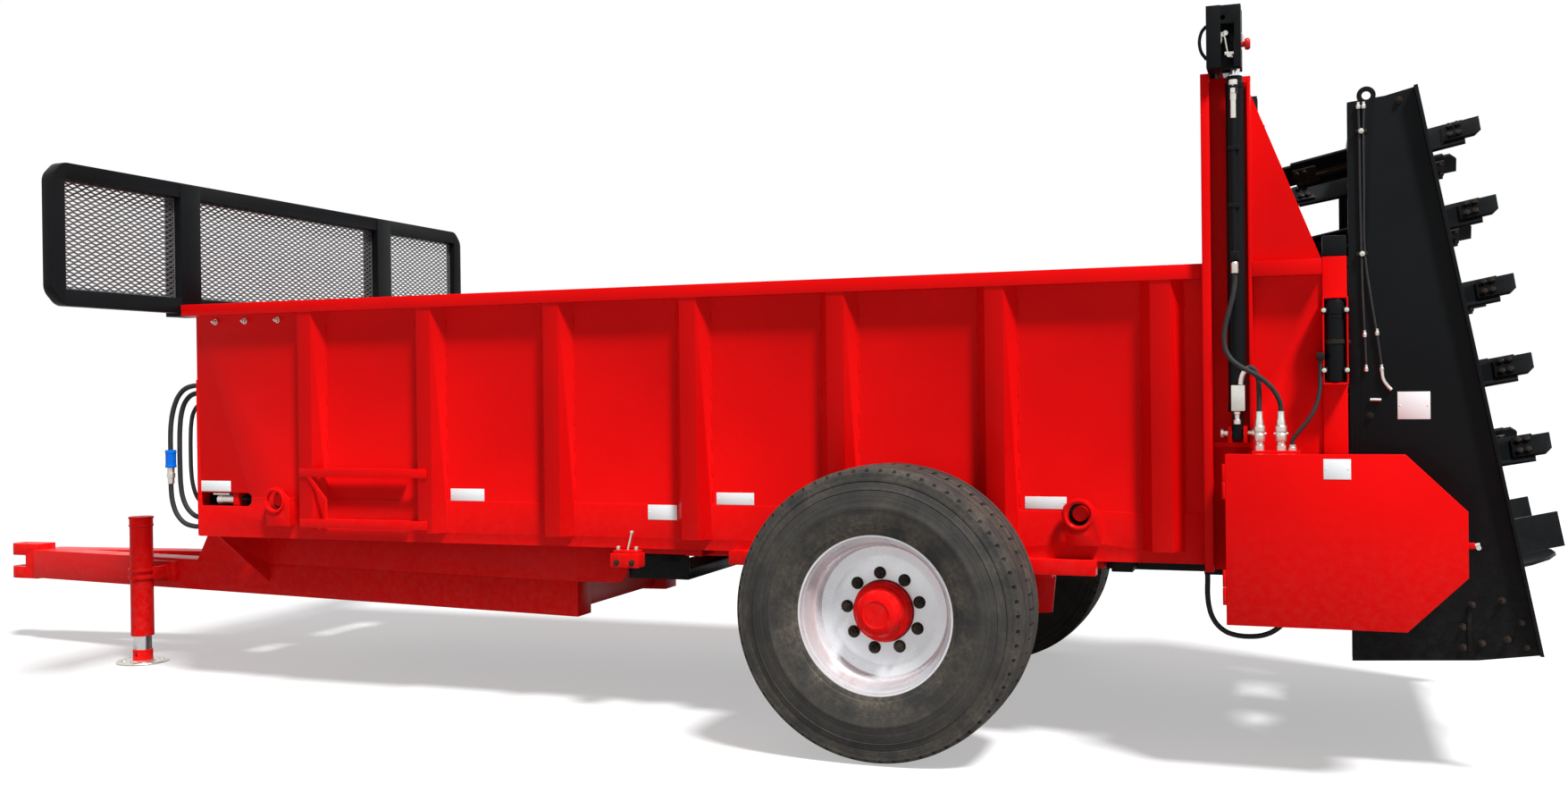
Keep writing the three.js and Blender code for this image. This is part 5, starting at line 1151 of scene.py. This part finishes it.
def guard_ports():
    """The quick couplings on the guard's roof and the pipe from the first one to the cylinder."""
    y = -900.3
    body = NODE_BODY["hose_ports"]
    base = block((1309, 1472), (y - 24, y + 24), (1126.5, 1142), 0.003)
    settle(base, "port_plate", body, RED_PAINT)
    coupling = [
        (0, 0), (0.017, 0), (0.017, 0.018), (0.014, 0.020), (0.014, 0.030), (0.018, 0.032),
        (0.019, 0.036), (0.019, 0.056), (0.0165, 0.060), (0.0165, 0.066), (0.020, 0.068),
        (0.020, 0.084), (0.0150, 0.090), (0.0145, 0.108), (0.0125, 0.112), (0.0120, 0.139), (0, 0.139)]
    stubs = [turned(coupling, at(x, y, 1142), UP, 28, 28) for x in (1335, 1408)]
    short = turned([(0, 0), (0.014, 0), (0.014, 0.010), (0.011, 0.012), (0.011, 0.0205), (0, 0.0205)],
                   at(1446, y, 1142), UP, 28, 28)
    wings = [block((x - 25, x + 25), (y - 4, y + 4), (1198, 1206), 0.002) for x in (1335, 1408)]
    settle(joined([*stubs, *wings, short]), "port_couplings", body, ZINC, None, ["hose_ports"])
    arch = tube([at(1335, y, 1279), at(1335, y, 1351), at(1329, y, 1409), at(1305, y, 1438),
                 at(1281, y, 1416), at(1274, y, 1392)], 0.009)
    settle(arch, "port_hose", body, FINISHES["hose_rubber"])
    tip = tube([at(1300, y, 1437), at(1283, y, 1419), at(1275, y, 1396), at(1273, y, 1377)], 0.0098)
    settle(tip, "port_hose_end", body, ZINC)


def canister():
    """The manual's canister: a capped moulded tube strapped into a red cradle on the post."""
    body = NODE_BODY["canister"]
    back = block((1553, 1630), (-798.6, -794.6), (1372, 1685), 0.0015)
    shelves = [block((1554, 1630), (-866, -796), (z, z + 8), 0.0015) for z in (1372, 1677)]
    flanges = [block(x, (-866, -796), (1374, 1683), 0.0015) for x in ((1549.5, 1555), (1629, 1634.5))]
    settle(joined([back, *shelves, *flanges]), "canister_cradle", body, RED_PAINT, None, ["canister"])
    shell = turned([
        (0, 0), (0.030, 0), (0.034, 0.004), (0.0345, 0.012), (0.0345, 0.226), (0.036, 0.228),
        (0.036, 0.232), (0.034, 0.234), (0.034, 0.240), (0.036, 0.242), (0.036, 0.284),
        (0.033, 0.291), (0.020, 0.293), (0, 0.293),
    ], at(1592, -836, 1381), UP, 48, 28)
    settle(shell, "canister_shell", body, FINISHES["black_paint"])
    band = turned([(0.0345, 0), (0.038, 0), (0.038, 0.014), (0.0345, 0.014), (0.0345, 0)],
                  at(1592, -836, 1518), UP, 48, 28)
    tails = [block(x, (-803, -799), (1518, 1532), 0.001) for x in ((1546, 1562), (1622, 1644))]
    hose_clamp = block((1528, 1556), (-876, -795), (1462, 1486), 0.003)
    settle(joined([band, *tails, hose_clamp]), "canister_strap", body, NUT_BLACK)
    ears = [block((x - 9, x + 9), (-868, -863), (z - 10, z + 10), 0.001)
            for x in (1556, 1628) for z in (1424, 1636)]
    settle(joined(ears), "canister_ears", body, NUT_BLACK)
    bolts("canister_bolts", body, [at(x, -868, z) for x in (1554, 1630) for z in (1424, 1636)],
          LEFT, 0.006)


def lubrication_lines():
    """Two thin lines down the housing, with their clips, unions and elbows."""
    y = -789
    body = NODE_BODY["grease_lines"]
    front = tube([at(1676, y, 2354), at(1678, y, 2264), at(1679, y, 2084), at(1682, y, 1829),
                  at(1686, y, 1654), at(1691, y, 1524), at(1694, y, 1434)], 0.0045)
    rear = tube([at(1694, y, 2354), at(1692, y, 2264), at(1692, y, 2084), at(1694, y, 1829),
                 at(1711, y, 1684), at(1734, y, 1524), at(1745, y, 1434)], 0.0045)
    settle(joined([front, rear]), "lubrication_lines", body, FINISHES["hose_rubber"], None,
           ["grease_lines"])
    clips = [block((1666, 1704), (y - 6, -780.3), (z, z + 12), 0.002) for z in (2265, 1830)]
    settle(joined(clips), "lubrication_clips", body, NUT_BLACK)
    bolts("lubrication_clip_bolts", body, [at(1685, y - 6, z) for z in (2271, 1836)], LEFT, 0.007)
    union = [(0, 0), (0.007, 0), (0.008, 0.002), (0.008, 0.012), (0.0055, 0.015), (0.0055, 0.024), (0, 0.024)]
    spots = [at(1676, y, 2350), at(1694, y, 2350), at(1690, y, 1540), at(1731, y, 1545),
             at(1694, y, 1418), at(1745, y, 1418)]
    unions = [turned(union, spot, UP, 16, 28) for spot in spots]
    elbow = tube([at(1745, y, 1424), at(1750, y, 1390), at(1764, y, 1366), at(1776, y, 1352)], 0.007)
    spur = tube([at(1706, y, 1318), at(1722, y, 1318), at(1742, y, 1317)], 0.006)
    settle(joined([*unions, elbow, spur]), "lubrication_unions", body, ZINC)


def hose_coupler():
    """The quick coupling on the outer hose: a blue sleeve over a plated plug half."""
    low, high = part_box("hose_coupler")
    centre = (low + high) / 2
    bore = 0.0125
    place = Vector((centre.x, centre.y, low.z))
    sleeve = turned([
        (bore, 0.078), (0.024, 0.078), (0.026, 0.081), (0.026, 0.090), (0.0245, 0.092),
        (0.0245, 0.146), (0.026, 0.148), (0.026, 0.160), (0.024, 0.164), (bore, 0.164), (bore, 0.078),
    ], place, UP, 32, 28)
    sleeve = settle(sleeve, "coupler_sleeve", NODE_BODY["hose_coupler"], FINISHES["blue_sleeve"], None,
           ["hose_coupler"])
    plug = turned([
        (bore, 0), (0.015, 0), (0.016, 0.003), (0.016, 0.028), (0.020, 0.030), (0.020, 0.052),
        (0.017, 0.054), (0.017, 0.0775), (bore, 0.0775), (bore, 0),
    ], place, UP, 32, 28)
    return [sleeve, settle(plug, "coupler_plug", NODE_BODY["hose_coupler"], ZINC)]


def valve():
    """The floor's speed valve under the sill, with its lever and unions."""
    body = NODE_BODY["valve_block"]
    casting = block((-1274, -1143), (-854.3, -784.3), (640, 700), 0.004)
    upper = block((-1262, -1150), (-846, -788), (699, 713), 0.003)
    settle(joined([casting, upper]), "valve_casting", body, RED_PAINT, None, ["valve_block"])
    lever = round_bar(at(-1204, -824, 712), at(-1184, -824, 788), 0.005, 0.001, 14)
    tip = turned([(0, 0), (0.007, 0.002), (0.009, 0.008), (0.007, 0.014), (0, 0.016)],
                 at(-1184, -824, 780), UP, 20, 40)
    stems = [round_bar(at(x, -820, 712), at(x, -820, 728), 0.009, 0.002, 16) for x in (-1250, -1166)]
    settle(joined([lever, tip, *stems]), "valve_lever", body, ZINC)
    return bolts("valve_bolts", body, [at(x, -854, 662) for x in (-1244, -1172)], LEFT, 0.010, 0, NUT_BLACK)


def guard_fittings():
    """Hinge knuckles down the guard's front edge and the catch on its rear edge."""
    barrel = [(0, 0), (0.0065, 0), (0.007, 0.001), (0.007, 0.059), (0.0065, 0.060), (0, 0.060)]
    fixed = [turned(barrel, at(1221, -1079, z), UP, 20, 28) for z in (612, 980)]
    moving = [turned(barrel, at(1221, -1079, z), UP, 20, 28) for z in (674, 1042)]
    settle(joined(fixed), "guard_hinge_fixed", NODE_BODY["guard_body"], RED_PAINT)
    settle(joined(moving), "guard_hinge_moving", NODE_BODY["guard_cover"], RED_PAINT)
    tab = block((1989, 2012), (-1076, -1062), (826, 846), 0.003)
    settle(tab, "guard_catch_tab", NODE_BODY["guard_cover"], RED_PAINT)
    pin = round_bar(at(2002, -1069, 836), at(2026, -1069, 842), 0.006, 0.001, 14)
    ring = turned([(0, -0.004), (0.008, -0.004), (0.008, 0.004), (0, 0.004)], at(2022, -1069, 830), LEFT, 16)
    settle(joined([pin, ring]), "guard_catch_pin", NODE_BODY["guard_cover"], ZINC)


def lug_eyes(side, hand):
    """What sits in the tie lugs: a rolled ring round the eye, a near-black disc of painted shade in the eye
    and a stub.
    """
    outward = (0, hand, 0)
    body = NODE_BODY[f"{side}_box_side"]
    rolled = [(0.0425, -0.004), (0.057, -0.004), (0.059, 0.002), (0.056, 0.008), (0.050, 0.009),
              (0.0425, 0.004), (0.0425, -0.004)]
    for number, x in enumerate(LUGS, 1):
        ring = turned(rolled, at(x, LUG_FACE * hand, LUG_HEIGHT), outward, 40, 40)
        stub = turned([(0, 0), (0.029, 0), (0.029, 0.022), (0.026, 0.026), (0.010, 0.027), (0, 0.027)],
                      at(x + 4, -SILL * hand, LUG_HEIGHT + 2), outward, 32, 28)
        settle(joined([ring, stub]), f"{side}_lug_eye_{number}", body, RED_PAINT)
        # Painted shade: a thin near-black disc on the sill face inside the eye stands in for the shade in the
        # hole.
        shade_sheet = turned([(0, -0.0005), (0.043, -0.0005), (0.043, 0.0012), (0, 0.0012)],
                        at(x, -SILL * hand, LUG_HEIGHT), outward, 32)
        settle(shade_sheet, f"{side}_lug_painted_shade_{number}", body, SHADE_BLACK)


def plates():
    """Blank maker's and service plates, each with a rivet near its ends."""
    sites = [
        ("side_plate_1", "left_box_side", SKIN, (-3487, -3313), (931, 981)),
        ("side_plate_2", "left_box_side", SKIN, (-2098, -1926), (905, 959)),
        ("side_plate_3", "left_box_side", SKIN, (-814, -647), (907, 957)),
        ("side_plate_4", "left_box_side", SKIN, (472, 631), (911, 958)),
        ("sill_plate", "left_box_side", SILL, (-1127, -993), (839, 902)),
        ("guard_plate", "guard_cover", -1086, (1546, 1633), (1052, 1121)),
        ("housing_plate", "left_housing_side", SKIN, (1796, 1902), (1248, 1345)),
    ]
    for name, node, face, x, z in sites:
        sheet = block(x, (face - 1.2, face + 0.2), z, 0.0005)
        middle = (z[0] + z[1]) / 2
        rivets = [turned([(0, 0), (0.003, 0), (0.002, 0.0012), (0, 0.0016)],
                         at(end, face - 1.1, middle), LEFT, 12, 60) for end in (x[0] + 8, x[1] - 8)]
        settle(joined([sheet, *rivets]), name, NODE_BODY[node], PLATE_WHITE)


def rail_bolts():
    """The bolts under the rail that hold the screen's posts."""
    for side, hand in SIDES:
        bolts(f"{side}_rail_bolts", NODE_BODY[f"{side}_box_side"],
              [at(x, -SKIN * hand, 1737) for x in (-3390, -3218, -3029)], (0, hand, 0), 0.011, 0.010)


# ---------------------------------------------------------------- spray screen
STRAND = 0.0135


def expanded_mesh(node):
    """Expanded metal: a field of diamonds cut to the opening, then given its strands."""
    low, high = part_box(node)
    pitch, rise = 0.050, 0.025
    centre = (low + high) / 2
    across = math.ceil((high.y - low.y) / pitch) + 1
    up = math.ceil((high.z - low.z) / rise) + 1
    deselect()
    bpy.ops.mesh.primitive_plane_add(size=1, location=(0, 0, 0), rotation=(0, math.pi / 2, 0))
    piece = bpy.context.object
    apply_place(piece)
    pick(piece)
    edit_mode()
    bpy.ops.mesh.select_all(action="SELECT")
    bpy.ops.transform.rotate(value=math.radians(45), orient_axis="X", center_override=(0, 0, 0))
    bpy.ops.transform.resize(value=(1, pitch / math.sqrt(2), rise / math.sqrt(2)),
                             center_override=(0, 0, 0))
    object_mode()
    modifier(piece, "ARRAY", count=across, use_relative_offset=False, use_constant_offset=True,
             constant_offset_displace=(0, pitch, 0))
    modifier(piece, "ARRAY", count=up, use_relative_offset=False, use_constant_offset=True,
             constant_offset_displace=(0, 0, rise))
    second = copy_of(piece)
    second.location = (0, pitch / 2, rise / 2)
    apply_place(second)
    piece = joined([piece, second])
    piece.location = (centre.x, centre.y - pitch * (across - 0.5) / 2, centre.z - rise * (up - 0.5) / 2)
    apply_place(piece)
    recalculate(piece, 0.0004)
    for point, normal in (((0, low.y + 0.002, 0), (0, -1, 0)), ((0, high.y - 0.002, 0), (0, 1, 0)),
                          ((0, 0, low.z + 0.002), (0, 0, -1)), ((0, 0, high.z - 0.002), (0, 0, 1))):
        pick(piece)
        edit_mode()
        bpy.ops.mesh.select_all(action="SELECT")
        bpy.ops.mesh.bisect(plane_co=point, plane_no=normal, clear_outer=True)
        object_mode()
    modifier(piece, "WIREFRAME", thickness=STRAND, use_even_offset=False, use_replace=True,
             use_boundary=True)
    pick(piece)
    edit_mode()
    bpy.ops.mesh.select_all(action="SELECT")
    bpy.ops.transform.resize(value=((high.x - low.x) / STRAND, 1, 1), center_override=centre)
    object_mode()
    return settle(piece, node + "_strands", NODE_BODY[node], FINISHES["mesh_steel"], "mesh_steel",
                  [node])


def plain_finishes():
    """CAD pieces that keep their own shape get their procedural finish."""
    for node, piece in NODES.items():
        piece.data.materials.clear()
        piece.data.materials.append(FINISHES[SLOTS[node]])


plain_finishes()
studio()
free_hoses()
fabricated_parts()
wheels()
for mesh_node in ("left_screen_mesh", "middle_screen_mesh", "right_screen_mesh"):
    expanded_mesh(mesh_node)
jack()
driveline()
for side, hand in SIDES:
    gate_cylinder(side, hand)
    header_end(side, hand)
    rear_post(side, hand)
    tensioner(side, hand)
    rib_welds(side, hand)
    housing_bolts(side, hand)
    beater_bolts(side, hand)
    lug_eyes(side, hand)
guard_ports()
canister()
lubrication_lines()
valve()
guard_fittings()
plates()
rail_bolts()
